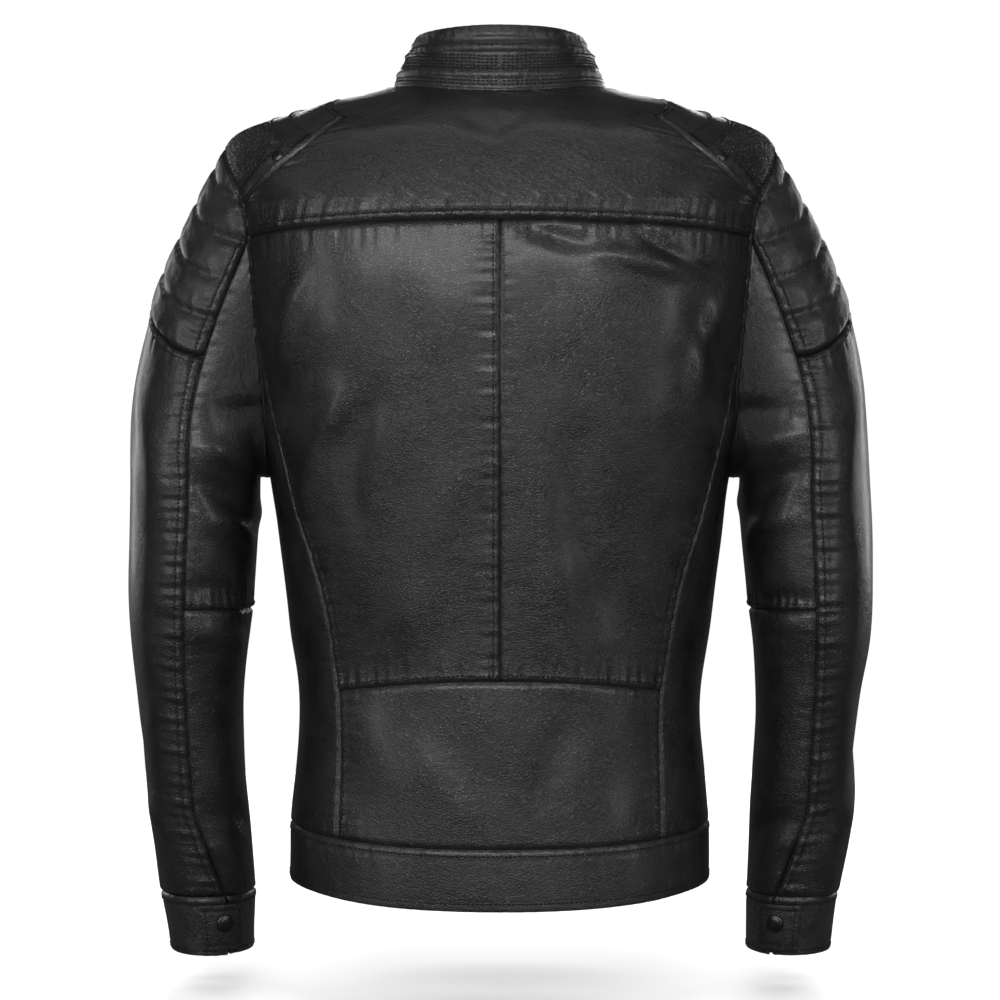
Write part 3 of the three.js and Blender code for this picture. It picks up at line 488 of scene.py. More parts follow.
def groove(distance, at, depth, width):
    return -depth * np.exp(-(((distance - at) / width) ** 2))


class Seam:
    """How a panel looks beside one of its edges: rows of stitches, a raised band and puckers."""

    def __init__(self, rows=(), pucker=0.45, reach=10, groove_depth=1.9, band=0.8, stitched=None):
        self.rows = rows
        self.stitched = rows if stitched is None else stitched
        self.pucker = pucker
        self.reach = reach
        self.groove_depth = groove_depth
        self.band = band

    def height(self, distance, along, phase):
        height = groove(distance, 0, self.groove_depth, 1.5)
        for row in self.rows:
            height += groove(distance, row, 0.9, 1.1)
        outer = max(self.rows, default=0)
        if self.rows:
            height += self.band * smooth(0, 1.6, distance) * smooth(outer + 1.2, outer - 0.4, distance)
        beyond = np.maximum(distance - outer, 0)
        pinch = smooth(0, 1.5, distance) * np.exp(-((beyond / self.reach) ** 2))
        height += self.pucker * pinch * wave(along, 8.5, phase)
        return height


PLAIN = Seam()
SMOOTH = Seam(pucker=0, groove_depth=0)
SOFT = Seam(pucker=0.9, reach=16)
TOPSTITCHED = Seam(rows=(6,), pucker=0.8)
DOUBLE = Seam(rows=(1.8, 8), pucker=1.2, reach=13, band=1.2)


# ---- Meshes ----
def normals_of(points, outward):
    across = np.gradient(points, axis=1)
    up = np.gradient(points, axis=0)
    normal = np.cross(across, up)
    normal /= np.linalg.norm(normal, axis=-1)[..., None] + 1e-9
    return normal * np.sign((normal * outward).sum())


def grid_faces(rows, columns):
    index = np.arange(rows * columns).reshape(rows, columns)
    corners = [index[:-1, :-1], index[:-1, 1:], index[1:, 1:], index[1:, :-1]]
    return np.stack(corners, axis=-1).reshape(-1, 4)


def ring_faces(size, count):
    """The faces between rings of size points each."""
    ring = np.arange(size)
    following = (ring + 1) % size
    bands = []
    for first in np.arange(count - 1) * size:
        corners = [first + ring, first + following, first + size + following, first + size + ring]
        bands.append(np.stack(corners, axis=1))
    return np.concatenate(bands)


def sheet_part(points, flat=None):
    """A grid of points as a part of a mesh, its texture as long as the points or the flat ones are."""
    flat = points if flat is None else flat
    uv = np.stack([lengths_along(flat, 1), lengths_along(flat, 0)], axis=-1).reshape(-1, 2)
    return points.reshape(-1, 3), grid_faces(*points.shape[:2]), uv, 0


def copies_part(corners, faces, number=0):
    """Many copies of a small shape as a part of a mesh: for each corner, its place in every copy."""
    points = np.stack(corners, axis=1)
    count, size = points.shape[:2]
    faces = (faces[None] + (np.arange(count) * size)[:, None, None]).reshape(-1, 4)
    return points.reshape(-1, 3), faces, np.zeros((count * size, 2)), number


def add_mesh(name, parts, materials, shade_smooth=True):
    """parts are (points, faces, uv, material number); one object holds them all."""
    points = np.concatenate([part[0] for part in parts]) * MM
    loops, sizes, uvs, numbers = [], [], [], []
    first = 0
    for part_points, faces, uv, number in parts:
        loops.append((faces + first).ravel())
        sizes.append(np.full(len(faces), faces.shape[1]))
        uvs.append(uv[faces].reshape(-1, 2) * MM)
        numbers.append(np.full(len(faces), number))
        first += len(part_points)
    loops, sizes = np.concatenate(loops), np.concatenate(sizes)
    mesh = bpy.data.meshes.new(name)
    mesh.vertices.add(len(points))
    mesh.vertices.foreach_set("co", points.ravel())
    mesh.loops.add(len(loops))
    mesh.loops.foreach_set("vertex_index", loops)
    mesh.polygons.add(len(sizes))
    mesh.polygons.foreach_set("loop_start", np.cumsum(sizes) - sizes)
    mesh.polygons.foreach_set("material_index", np.concatenate(numbers))
    mesh.polygons.foreach_set("use_smooth", np.full(len(sizes), shade_smooth))
    mesh.uv_layers.new(name="leather").data.foreach_set("uv", np.concatenate(uvs).ravel())
    for material in materials:
        mesh.materials.append(material)
    mesh.update(calc_edges=True)
    mesh.validate()
    piece = bpy.data.objects.new(name, mesh)
    bpy.context.scene.collection.objects.link(piece)
    return piece


STITCH_MARGIN = 1.5  # of a row at each end
STITCH_RING = 5  # points round a stitch
# The rings of a stitch: place along it, thickness, and how far it sinks.
STITCH_STATIONS = [(-0.5, 0.45, -0.35), (-0.3, 1, 0), (0.3, 1, 0), (0.5, 0.45, -0.35)]


def stitch_part(path, normals):
    """A row of short rounded stitches along a path."""
    far = lengths_along(path, 0)
    run = far[-1] - 2 * STITCH_MARGIN
    count = int(run // STITCH_PITCH)
    if count < 1:
        return None
    middles = STITCH_MARGIN + (np.arange(count) + 0.5) * run / count

    def at(places, values):
        return np.stack([np.interp(places, far, values[:, k]) for k in range(3)], axis=-1)

    start, end = at(middles - STITCH_LENGTH / 2, path), at(middles + STITCH_LENGTH / 2, path)
    way = unit(end - start)
    up = square_to(way, at(middles, normals))
    side = np.cross(way, up)
    corners = []
    for place, thick, sink in STITCH_STATIONS:
        centre = (start + end) / 2 + way * (STITCH_LENGTH * place) + up * (THREAD * (0.55 + sink))
        for angle in np.arange(STITCH_RING) / STITCH_RING * 2 * np.pi:
            corners.append(centre + (up * np.cos(angle) + side * np.sin(angle)) * THREAD * thick)
    return copies_part(corners, ring_faces(STITCH_RING, len(STITCH_STATIONS)), 1)


def offset_path(points, normals, edge, distance):
    """The line on a grid that runs beside one edge at an even distance, with its normals."""
    if edge in ("bottom", "top"):
        points, normals = points.swapaxes(0, 1), normals.swapaxes(0, 1)
    if edge in ("right", "top"):
        points, normals = points[:, ::-1], normals[:, ::-1]
    far = lengths_along(points, 1)
    keep = far[:, -1] > distance * 1.4
    path, facing = [], []
    for row, row_far, row_normals in zip(points[keep], far[keep], normals[keep]):
        path.append([np.interp(distance, row_far, row[:, k]) for k in range(3)])
        facing.append([np.interp(distance, row_far, row_normals[:, k]) for k in range(3)])
    return np.array(path), np.array(facing)


EDGES = ("bottom", "top", "left", "right")


def edge_frames(points):
    across, up = lengths_along(points, 1), lengths_along(points, 0)
    return {
        "bottom": (up, across),
        "top": (up[-1:] - up, across),
        "left": (across, up),
        "right": (across[:, -1:] - across, up),
    }


def rim(points, normals, turned_in, fold):
    """Strips that turn a grid's edges in: SKIN deep, or folded back inside as far as fold says."""
    sides = {
        "bottom": lambda grid: grid,
        "top": lambda grid: grid[::-1],
        "left": lambda grid: grid.swapaxes(0, 1),
        "right": lambda grid: grid.swapaxes(0, 1)[::-1],
    }
    strips = []
    for edge, way in sides.items():
        if edge not in turned_in:
            continue
        rows, facing = way(points), way(normals)
        depth = fold.get(edge, 0)
        strip = [rows[0], rows[0] - facing[0] * SKIN]
        if depth:
            count = max(1, int(depth / PITCH))
            roll = rows[0] - (rows[1] - rows[0]) * 0.3
            strip = [rows[0], roll - facing[0] * SKIN * 0.3, roll - facing[0] * SKIN * 0.8]
            strip += [rows[k] - facing[k] * SKIN * 1.1 for k in range(0, count, 2)]
        strips.append(np.stack(strip))
    return strips


def leather_panel(name, points, seams, look, outward, relief=0, fold=None, turned_in=EDGES):
    """A panel of leather from a grid of points; seams is one seam for all its edges, or some by edge."""
    seams = dict.fromkeys(EDGES, seams) if isinstance(seams, Seam) else seams
    normals = normals_of(points, outward)
    frames = edge_frames(points)
    height = relief + np.zeros(points.shape[:-1])
    phase = rng.uniform(0, 6)
    for edge in EDGES:
        height = height + seams.get(edge, PLAIN).height(*frames[edge], phase)
        phase += 1.7
    shaped = points + normals * height[..., None]
    facing = normals_of(shaped, outward)
    parts = [sheet_part(shaped, points)]
    parts += [sheet_part(strip) for strip in rim(shaped, facing, turned_in, fold or {})]
    for edge in EDGES:
        for distance in seams.get(edge, PLAIN).stitched:
            path, path_normals = offset_path(shaped, facing, edge, distance)
            row = stitch_part(path, path_normals) if len(path) > 3 else None
            if row:
                parts.append(row)
    return add_mesh(name, parts, [look, THREAD_LOOK])


# ---- Looks ----
class Nodes:
    """Builds a material's node tree, one node at a time."""

    def __init__(self, name):
        self.material = bpy.data.materials.new(name)
        self.material.use_nodes = True
        self.tree = self.material.node_tree
        self.shader = self.tree.nodes["Principled BSDF"]

    def add(self, kind, links=None, **settings):
        """Adds a node; a setting is one of its own or, with _ for a space, one of its inputs."""
        node = self.tree.nodes.new(kind)
        for key, value in settings.items():
            if hasattr(node, key):
                setattr(node, key, value)
            else:
                node.inputs[key.replace("_", " ")].default_value = value
        for socket, source in (links or {}).items():
            self.tree.links.new(source, node.inputs[socket])
        return node

    def link(self, source, socket):
        self.tree.links.new(source, self.shader.inputs[socket])

    def spread(self, value, **limits):
        return self.add("ShaderNodeMapRange", {"Value": value}, **limits).outputs["Result"]

    def combine(self, first, second, operation):
        return self.add("ShaderNodeMath", {0: first, 1: second}, operation=operation).outputs[0]

    def bump(self, height, strength, distance, normal=None):
        links = {"Height": height, "Normal": normal} if normal else {"Height": height}
        return self.add("ShaderNodeBump", links, Strength=strength, Distance=distance).outputs["Normal"]

    def blend(self, share, first, second):
        node = self.add("ShaderNodeMix", {"Factor": share}, data_type="RGBA")
        node.inputs[6].default_value = (*first, 1)
        node.inputs[7].default_value = (*second, 1)
        return node.outputs[2]


def grey(value, warm=0.0):
    return (value * (1 + warm), value, value * (1 - warm))


def leather_look(name, dark, light, roughness, grain=560, depth=0.00022):
    nodes = Nodes(name)
    place = {"Vector": nodes.add("ShaderNodeTexCoord").outputs["UV"]}
    cells = nodes.add("ShaderNodeTexVoronoi", place, feature="DISTANCE_TO_EDGE", Scale=grain)
    pebbles = nodes.spread(cells.outputs["Distance"], From_Max=0.22)
    fine = nodes.add("ShaderNodeTexNoise", place, Scale=grain * 2.2, Detail=4).outputs["Fac"]
    broad = nodes.add("ShaderNodeTexNoise", place, Scale=26, Detail=5, Roughness=0.62).outputs["Fac"]
    slow = nodes.bump(broad, 0.6, 0.003)
    nodes.link(nodes.bump(nodes.combine(pebbles, fine, "ADD"), 0.75, depth, slow), "Normal")
    worn = nodes.spread(broad, From_Min=0.35, From_Max=0.7)
    nodes.link(nodes.blend(worn, dark, light), "Base Color")
    uneven = nodes.spread(broad, To_Min=roughness - 0.12, To_Max=roughness + 0.12)
    creases = nodes.spread(pebbles, To_Min=0.1, To_Max=0)
    nodes.link(nodes.combine(uneven, creases, "ADD"), "Roughness")
    nodes.shader.inputs["Specular IOR Level"].default_value = 0.5
    nodes.shader.inputs["Coat Weight"].default_value = 0.25
    nodes.shader.inputs["Coat Roughness"].default_value = 0.24
    return nodes.material


def fabric_look(name, dark, light, threads, roughness, sheen):
    nodes = Nodes(name)
    place = {"Vector": nodes.add("ShaderNodeTexCoord").outputs["UV"]}
    twill = nodes.add("ShaderNodeTexWave", place, bands_direction="DIAGONAL", Scale=threads).outputs["Fac"]
    cloud = nodes.add("ShaderNodeTexNoise", place, Scale=40, Detail=3).outputs["Fac"]
    nodes.link(nodes.blend(nodes.combine(twill, cloud, "MULTIPLY"), dark, light), "Base Color")
    nodes.link(nodes.bump(twill, 0.3, 0.0001), "Normal")
    nodes.link(nodes.spread(cloud, To_Min=roughness - 0.08, To_Max=roughness + 0.08), "Roughness")
    nodes.shader.inputs["Sheen Weight"].default_value = sheen
    nodes.shader.inputs["Sheen Roughness"].default_value = 0.4
    return nodes.material


def metal_look(name, dark, light, roughness):
    nodes = Nodes(name)
    place = {"Vector": nodes.add("ShaderNodeTexCoord").outputs["Object"]}
    cloud = nodes.add("ShaderNodeTexNoise", place, Scale=420, Detail=4).outputs["Fac"]
    nodes.link(nodes.blend(cloud, dark, light), "Base Color")
    nodes.link(nodes.spread(cloud, To_Min=roughness - 0.1, To_Max=roughness + 0.12), "Roughness")
    nodes.link(nodes.bump(cloud, 0.1, 0.0001), "Normal")
    nodes.shader.inputs["Metallic"].default_value = 1
    return nodes.material


LEATHER_LOOK = leather_look("black_leather", grey(0.003), grey(0.008, 0.03), 0.3)
QUILT_LOOK = leather_look("quilted_leather", grey(0.004), grey(0.009, 0.03), 0.38)
TRIM_LOOK = leather_look("trim_leather", grey(0.004), grey(0.011, 0.03), 0.32)
MESH_LOOK = leather_look("embossed_leather", grey(0.0035), grey(0.008, 0.03), 0.36, 390, 0.0012)
THREAD_LOOK = fabric_look("black_thread", grey(0.0015), grey(0.004), 2600, 0.85, 0)
LINING_LOOK = fabric_look("black_lining", grey(0.008), grey(0.02), 900, 0.5, 0.25)
TAPE_LOOK = fabric_look("zip_tape_weave", grey(0.006), grey(0.014), 1500, 0.85, 0.1)
METAL_LOOK = metal_look("gunmetal", grey(0.05, 0.02), grey(0.11, 0.02), 0.34)
ZIP_LOOK = metal_look("zip_metal", grey(0.16, 0.02), grey(0.28, 0.02), 0.32)


# ---- Which body a piece moves with ----
SIDES = {"left": 1, "right": -1}
LEATHER = ("leather", LEATHER_LOOK)
QUILTED = ("quilted_leather", QUILT_LOOK)
TRIM = ("trim_leather", TRIM_LOOK)
EMBOSSED = ("trim_leather", MESH_LOOK)


def all_bends():
    """For the body that a bend ends on: the body it starts on, that body, and where it starts and ends."""
    bends = {}
    elbow = -0.403
    for name, sign in SIDES.items():
        # in the width beside the line that the front swings about
        front, upper, lower = f"front_{name}", f"upper_sleeve_{name}", f"lower_sleeve_{name}"
        bends[front] = ("torso", front, (0.048 * sign, 0.036, 0), (-0.0064 * sign, -0.0048, 0))
        # from the lowest place of the armhole down to the inside of the elbow, on a slant
        way = np.array([0.7071 * sign, 0, -0.7071])
        bends[upper] = ("torso", upper, tuple(way * 0.339), tuple(way * 0.424))
        bends[lower] = (upper, lower, (0, 0, elbow), (0, 0, elbow - 0.077))
    return bends


BENDS = all_bends()


def dress(piece, nodes=(), body=None, bend=None):
    """Hides the parts that a piece replaces and rides it on a body; a piece on a bend has its place baked
    into its mesh.
    """
    if nodes:
        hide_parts(*nodes)
    if bend in BENDS:
        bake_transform(piece)
    else:
        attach(piece, body or bend)
    return piece


def add_panel(name, points, seams, leather, outward, nodes=(), body=None, bend=None, **shape):
    slot, look = leather
    return dress(leather_panel(name, points, seams, look, outward, **shape), nodes, body, bend)


FRONT_LINING_DROP = 1.8  # the lining lies this much deeper in the fronts, clear of the pocket sliders
linings = {}


def line_inside(key, points, outward, depth):
    """Keeps a coarser sheet inside a panel, for the lining that is made at the end."""
    picks = np.ix_(*every_few(points, 3))
    coarse = points[picks]
    facing = normals_of(coarse, outward[picks])
    sheet = coarse - facing * (depth + 0.35 * ripple(coarse * 2.5))[..., None]
    linings.setdefault(key, []).append(sheet)


def body_panel(name, grid, side, seams, bend, nodes, leather=LEATHER, relief=0, lined=True, **shape):
    points = on_surface(body_point, grid, side)
    outward = points * [1, 1, 0]
    relief = body_folds(points) + ripple(points) + relief
    add_panel(name, points, seams, leather, outward, nodes, bend=bend, relief=relief, **shape)
    if lined:
        line_inside(bend, points, outward, LINING_DEPTH + (FRONT_LINING_DROP if bend in BENDS else 0))


# ---- Body ----
def back():
    yoke_side = chain(armhole_edge(78, 64), patch_back_seam, patch_inner_back, ridge)
    seams = {"bottom": DOUBLE, "left": SOFT, "right": SOFT, "top": PLAIN}
    body_panel("yoke", arched(body_point, yoke_seam, yoke_side), 1, seams, "torso", ["back_yoke"])

    half = len(yoke_seam) // 2
    back_side = chain(princess_above, armhole_edge(116, 78))
    middle = line([0, waist_seam[half][1]], [0, yoke_seam[half][1]])
    grid = fill(body_point, waist_seam[half:], yoke_seam[half:], middle, back_side)
    seams = {"left": TOPSTITCHED, "right": TOPSTITCHED, "top": SOFT, "bottom": TOPSTITCHED}
    for name, side in SIDES.items():
        body_panel(f"back_{name}", grid, side, seams, "torso", [f"back_panel_{name}"])
        seams = {**seams, "left": PLAIN}  # the centre seam is stitched on its left

    hem_back = line([-hem_corner[0], HEM_SEAM], hem_corner)
    grid = fill(body_point, hem_back, waist_seam, princess_below * [-1, 1], princess_below)
    seams = {"left": TOPSTITCHED, "right": TOPSTITCHED}
    body_panel("back_lower", grid, 1, seams, "torso", ["back_lower_panel"])

    side_back = chain(princess_below, princess_above)
    grid = fill(body_point, line(hem_corner, side_front[0]), armhole_edge(116, 244), side_back, side_front)
    for name, side in SIDES.items():
        body_panel(f"side_{name}", grid, side, {}, f"front_{name}", [f"side_panel_{name}"])


def shoulders():
    inner = chain(patch_inner_back, patch_inner_front[::-1])
    grid = fill(body_point, armhole_edge(64, -64), inner, patch_back_seam, patch_front_seam)
    raised = Seam(rows=(5,), pucker=0.4, reach=6, band=0.5)
    seams = {"left": raised, "right": raised, "top": TOPSTITCHED, "bottom": SOFT}
    for name, side in SIDES.items():
        body_panel(f"shoulder_{name}", grid, side, seams, "torso", [f"shoulder_patch_{name}"], TRIM)
        grip(grid, name, side)


def patch_piece(grid, side, across, inward, counts, lift):
    """A piece laid on the shoulder patch: across and inward are its shares of the patch."""
    rows, columns = grid.shape[:2]
    u = np.linspace(*across, counts[0]) * (columns - 1)
    v = np.linspace(*inward, counts[1]) * (rows - 1)
    every_row, every_column = np.arange(rows), np.arange(columns)
    narrow = np.stack([[np.interp(v, every_row, grid[:, j, k]) for k in (0, 1)] for j in every_column])
    places = np.stack([[np.interp(u, every_column, narrow[:, k, i]) for k in (0, 1)] for i in range(len(v))])
    points = on_surface(body_point, places.swapaxes(1, 2), side)
    outward = points * [1, 1, 0]
    normals = normals_of(points, outward)
    return points + normals * (body_folds(points) + ripple(points) + lift)[..., None], outward


GRIP_EDGE = Seam(groove_depth=0.2, pucker=0, stitched=(1.8,))


def grip(grid, name, side):
    """The finely embossed field that is sewn on the outer part of the patch, and the strap beside it."""
    points, outward = patch_piece(grid, side, (0.06, 0.94), (0.07, 0.6), (150, 80), 0.7)
    across, up = lengths_along(points, 1), lengths_along(points, 0)
    jitter = np.sin(across * 0.9 + up * 0.4) + np.sin(up * 1.1 - across * 0.3)
    spots = np.sin(across * 2.1 + jitter) * np.sin(up * 2.2 + jitter)
    edge = np.minimum.reduce([across, across[:, -1:] - across, up, up[-1:] - up])
    dots = 0.8 * smooth(0, 0.5, spots) * smooth(3, 5, edge) - 0.3 * smooth(1, 0, np.abs(edge - 3.2))
    add_panel(f"grip_{name}", points, GRIP_EDGE, EMBOSSED, outward, body="torso", relief=dots)
    points, outward = patch_piece(grid, side, (0.03, 0.97), (0.6, 0.74), (90, 14), 1.4)
    add_panel(f"strap_{name}", points, GRIP_EDGE, TRIM, outward, body="torso")


def fronts():
    yoke_outer = chain(armhole_edge(-84, -64), patch_front_seam, patch_inner_front, ridge)
    yoke_inner = fold_seam(np.linspace(6.6, NECK, 90))
    neck_front = line([90, NECK], fold_seam(NECK))
    yoke_grid = fill(body_point, front_yoke_seam, neck_front, yoke_outer, yoke_inner)
    side_outer = chain(side_front, armhole_edge(-116, -84))
    side_inner = fold_seam(np.linspace(HEM_SEAM, 6.6, 160))
    side_hem = line(side_front[0], fold_seam(HEM_SEAM))
    side_grid = fill(body_point, side_hem, front_yoke_seam, side_outer, side_inner)
    levels = np.linspace(HEM_SEAM, NECK, 200)
    centre, fold = zip_edge(levels), fold_seam(levels)
    panel_grid = fill(body_point, line(fold[0], centre[0]), line(fold[-1], centre[-1]), fold, centre)
    placket = Seam(rows=(3, 9), groove_depth=0.2, band=0.3, pucker=0.25)
    front_seams = {"left": TOPSTITCHED, "right": placket}
    panels = [
        ("yoke_front", "front_yoke", yoke_grid, {"bottom": TOPSTITCHED}, {}),
        ("side_front", "front_side", side_grid, {"left": TOPSTITCHED}, {}),
        ("front", "front_panel", panel_grid, front_seams, {"right": 16}),
    ]
    for name, side in SIDES.items():
        for piece, node, grid, seams, fold in panels:
            body_panel(f"{piece}_{name}", grid, side, seams, f"front_{name}", [f"{node}_{name}"], fold=fold)


COLLAR_ROWS = (1.6, 4.8, 8, 18.4, 21.4, 24.2, 27, 29.8, 39.6, 42.2)


def collar():
    """Each half runs from the middle of the back to the zip, ridged by rows of stitches."""
    ends = zip_edge(np.array([NECK, COLLAR_EDGE], float), 1.2)
    bottom = chain(line([0, NECK], [90, NECK]), line([90, NECK], ends[0]))
    top = chain(line([0, COLLAR_EDGE], [90, COLLAR_EDGE]), line([90, COLLAR_EDGE], ends[1]))
    middle = line([0, NECK], [0, COLLAR_EDGE])
    grid = fill(body_point, bottom, top, middle, line(ends[0], ends[1]), pitch=1.5)
    points = on_surface(body_point, grid)
    up = lengths_along(points, 0)
    height = up / up[-1:] * 52
    puffs = 1.3 * smooth(8.4, 12, height) * smooth(18, 14.5, height)
    puffs += 1.5 * smooth(30.2, 33, height) * smooth(39.2, 36, height)
    puffs += 0.5 * smooth(42.6, 44, height)
    puffs += 0.25 * wave(lengths_along(points, 1), 7, 1.0) * (puffs > 0.3)
    rows = Seam(COLLAR_ROWS, pucker=0.12, reach=60, band=0, groove_depth=0.8, stitched=COLLAR_ROWS[1:])
    edge = Seam(groove_depth=0.5, pucker=0.1)
    seams = {"bottom": rows, "left": SMOOTH, "right": TOPSTITCHED, "top": edge}
    shape = {"relief": puffs, "fold": {"top": 50}, "turned_in": ("bottom", "top", "right"), "lined": False}
    for name, side in SIDES.items():
        nodes = ["collar_back", f"collar_front_{name}"]
        body_panel(f"collar_{name}", grid, side, seams, f"front_{name}", nodes, TRIM, **shape)


def hem():
    """The band at the hem: one length across the back and one across each side and front."""
    upper = Seam(rows=(5.6,), pucker=0.5, band=0.5)
    seams = {"top": upper, "bottom": Seam(rows=(5.6,), pucker=0.3, groove_depth=0.3, band=0.4)}
    fold = {"bottom": 30}
    band = between(body_point, ([-90, HEM], [90, HEM]), ([-90, HEM_SEAM], [90, HEM_SEAM]))
    body_panel("hem_back", band, 1, seams, "torso", ["hem_band_back"], TRIM, fold=fold)
    ends = zip_edge(np.array([HEM, HEM_SEAM], float))
    band = between(body_point, ([90, HEM], ends[0]), ([90, HEM_SEAM], ends[1]))
    seams["right"] = TOPSTITCHED
    for name, side in SIDES.items():
        nodes = ["hem_band_back", f"hem_band_front_{name}"]
        body_panel(f"hem_front_{name}", band, side, seams, f"front_{name}", nodes, TRIM, fold=fold)


# ---- Sleeves ----
CHANNEL_PITCH = 28
CHANNEL_SLOPE = 1.1  # how steeply the channels run down at the back and the front
CHANNEL_ROUND = 36  # half the width over which they turn from one slope to the other
CHANNEL_TOP = 20  # how far below the neck's level the first one starts
QUILT_CHANNELS = 5
PADDING_CLOTH = {
    "quality": 5,
    "mass": 0.05,
    "tension_stiffness": 12,
    "compression_stiffness": 12,
    "shear_stiffness": 4,
    "bending_stiffness": 2,
    "shrink_min": -0.008,
    "use_pressure": True,
    "uniform_pressure_force": 4,
}
SWELL_FRAMES = 20
PADDING_RISE = 3.2  # at most


def channel_place(points):
    """How many channels lie above a place."""
    drop = np.hypot(points[..., 1], CHANNEL_ROUND) - CHANNEL_ROUND
    return (-points[..., 2] - CHANNEL_TOP - CHANNEL_SLOPE * drop) / CHANNEL_PITCH


def quilt_edge(around_at, size):
    """Where the last channel ends, at places round the sleeve that may change on the way down."""

    def above(trial):
        return channel_place(sleeve_point(around_at(trial), trial)) < QUILT_CHANNELS

    along = bisect(0.02, 1.0, above, size)
    return np.stack([around_at(along), along], axis=-1)


def seam_up(seam_around, start, end):
    """A seam of the sleeve from its lower end up to its start."""
    along = np.linspace(start, end, 160)
    return np.stack([seam_around(along), along], axis=-1)[::-1]


def ring_line(along, start, end, count=160):
    return np.stack([np.linspace(start, end, count), np.full(count, float(along))], axis=-1)


def sleeve_panel(name, grid, side, seams, nodes, leather=LEATHER, relief=0, body=None, bend=None, **shape):
    points = on_surface(sleeve_point, grid, side)
    middle = np.zeros(points.shape) + [SLEEVE_MIDDLE * side, 0, 0]
    middle[..., 2] = points[..., 2]
    outward = points - middle
    folds = sleeve_folds(grid[..., 0], points, side) + ripple(points)
    shape["relief"] = folds + relief
    piece = add_panel(name, points, seams, leather, outward, nodes, body, bend, **shape)
    line_inside(body or bend, points, outward, SLEEVE_LINING_DEPTH)
    return piece


def swell(name, points, normals, pinned):
    """Blows a pinned sheet up by cloth simulation, and gives how far each of its places rises."""
    faces = grid_faces(*points.shape[:2])
    flat = points.reshape(-1, 3)
    edge = np.cross(flat[faces[:, 1]] - flat[faces[:, 0]], flat[faces[:, 2]] - flat[faces[:, 0]])
    if (edge * normals.reshape(-1, 3)[faces[:, 0]]).sum() < 0:
        faces = faces[:, ::-1]
    mesh = bpy.data.meshes.new(name)
    mesh.from_pydata((flat * MM).tolist(), [], faces.tolist())
    sheet = bpy.data.objects.new(name, mesh)
    scene = bpy.context.scene
    scene.collection.objects.link(sheet)
    group = sheet.vertex_groups.new(name="sewn_down")
    group.add(np.flatnonzero(pinned).tolist(), 1, "REPLACE")
    cloth = sheet.modifiers.new("cloth", "CLOTH")
    for setting, value in PADDING_CLOTH.items():
        setattr(cloth.settings, setting, value)
    cloth.settings.vertex_group_mass = group.name
    cloth.settings.effector_weights.gravity = 0
    cloth.point_cache.frame_end = SWELL_FRAMES
    for number in range(1, SWELL_FRAMES + 1):
        scene.frame_set(number)
    evaluated = sheet.evaluated_get(bpy.context.evaluated_depsgraph_get())
    moved = np.empty(flat.size)
    evaluated.data.vertices.foreach_get("co", moved)
    rise = ((moved.reshape(points.shape) / MM - points) * normals).sum(axis=-1)
    bpy.data.objects.remove(sheet)
    bpy.data.meshes.remove(mesh)
    scene.frame_set(1)
    return np.clip(rise, -1, PADDING_RISE)


def quilt_relief(name, points, outward):
    """Padded channels that are sewn down along their valleys."""
    place = channel_place(points)
    share = place - np.floor(place)
    valley = np.minimum(share, 1 - share) * CHANNEL_PITCH
    puff = 2.4 * (1 - np.abs(2 * share - 1) ** 4.5)
    picks = every_few(points, 2)
    every = np.ix_(*picks)
    pinned = valley[every] < 2.2
    pinned[[0, -1]] = True
    pinned[:, [0, -1]] = True
    facing = normals_of(points[every], outward[every])
    rise = swell(f"{name}_padding", points[every], facing, pinned)
    rows, columns = (np.arange(size) for size in points.shape[:2])
    down = np.stack([np.interp(rows, picks[0], column) for column in rise.T], axis=1)
    risen = np.stack([np.interp(columns, picks[1], row) for row in down])
    puff = 0.6 * risen + 0.7 * puff
    crease = np.exp(-((valley / 3.6) ** 2))
    far = points[..., 1] * 1.1 + points[..., 0] * 0.2
    return puff + groove(valley, 0, 1.9, 2.1) + 0.45 * crease * wave(far, 6.5, 0.7)


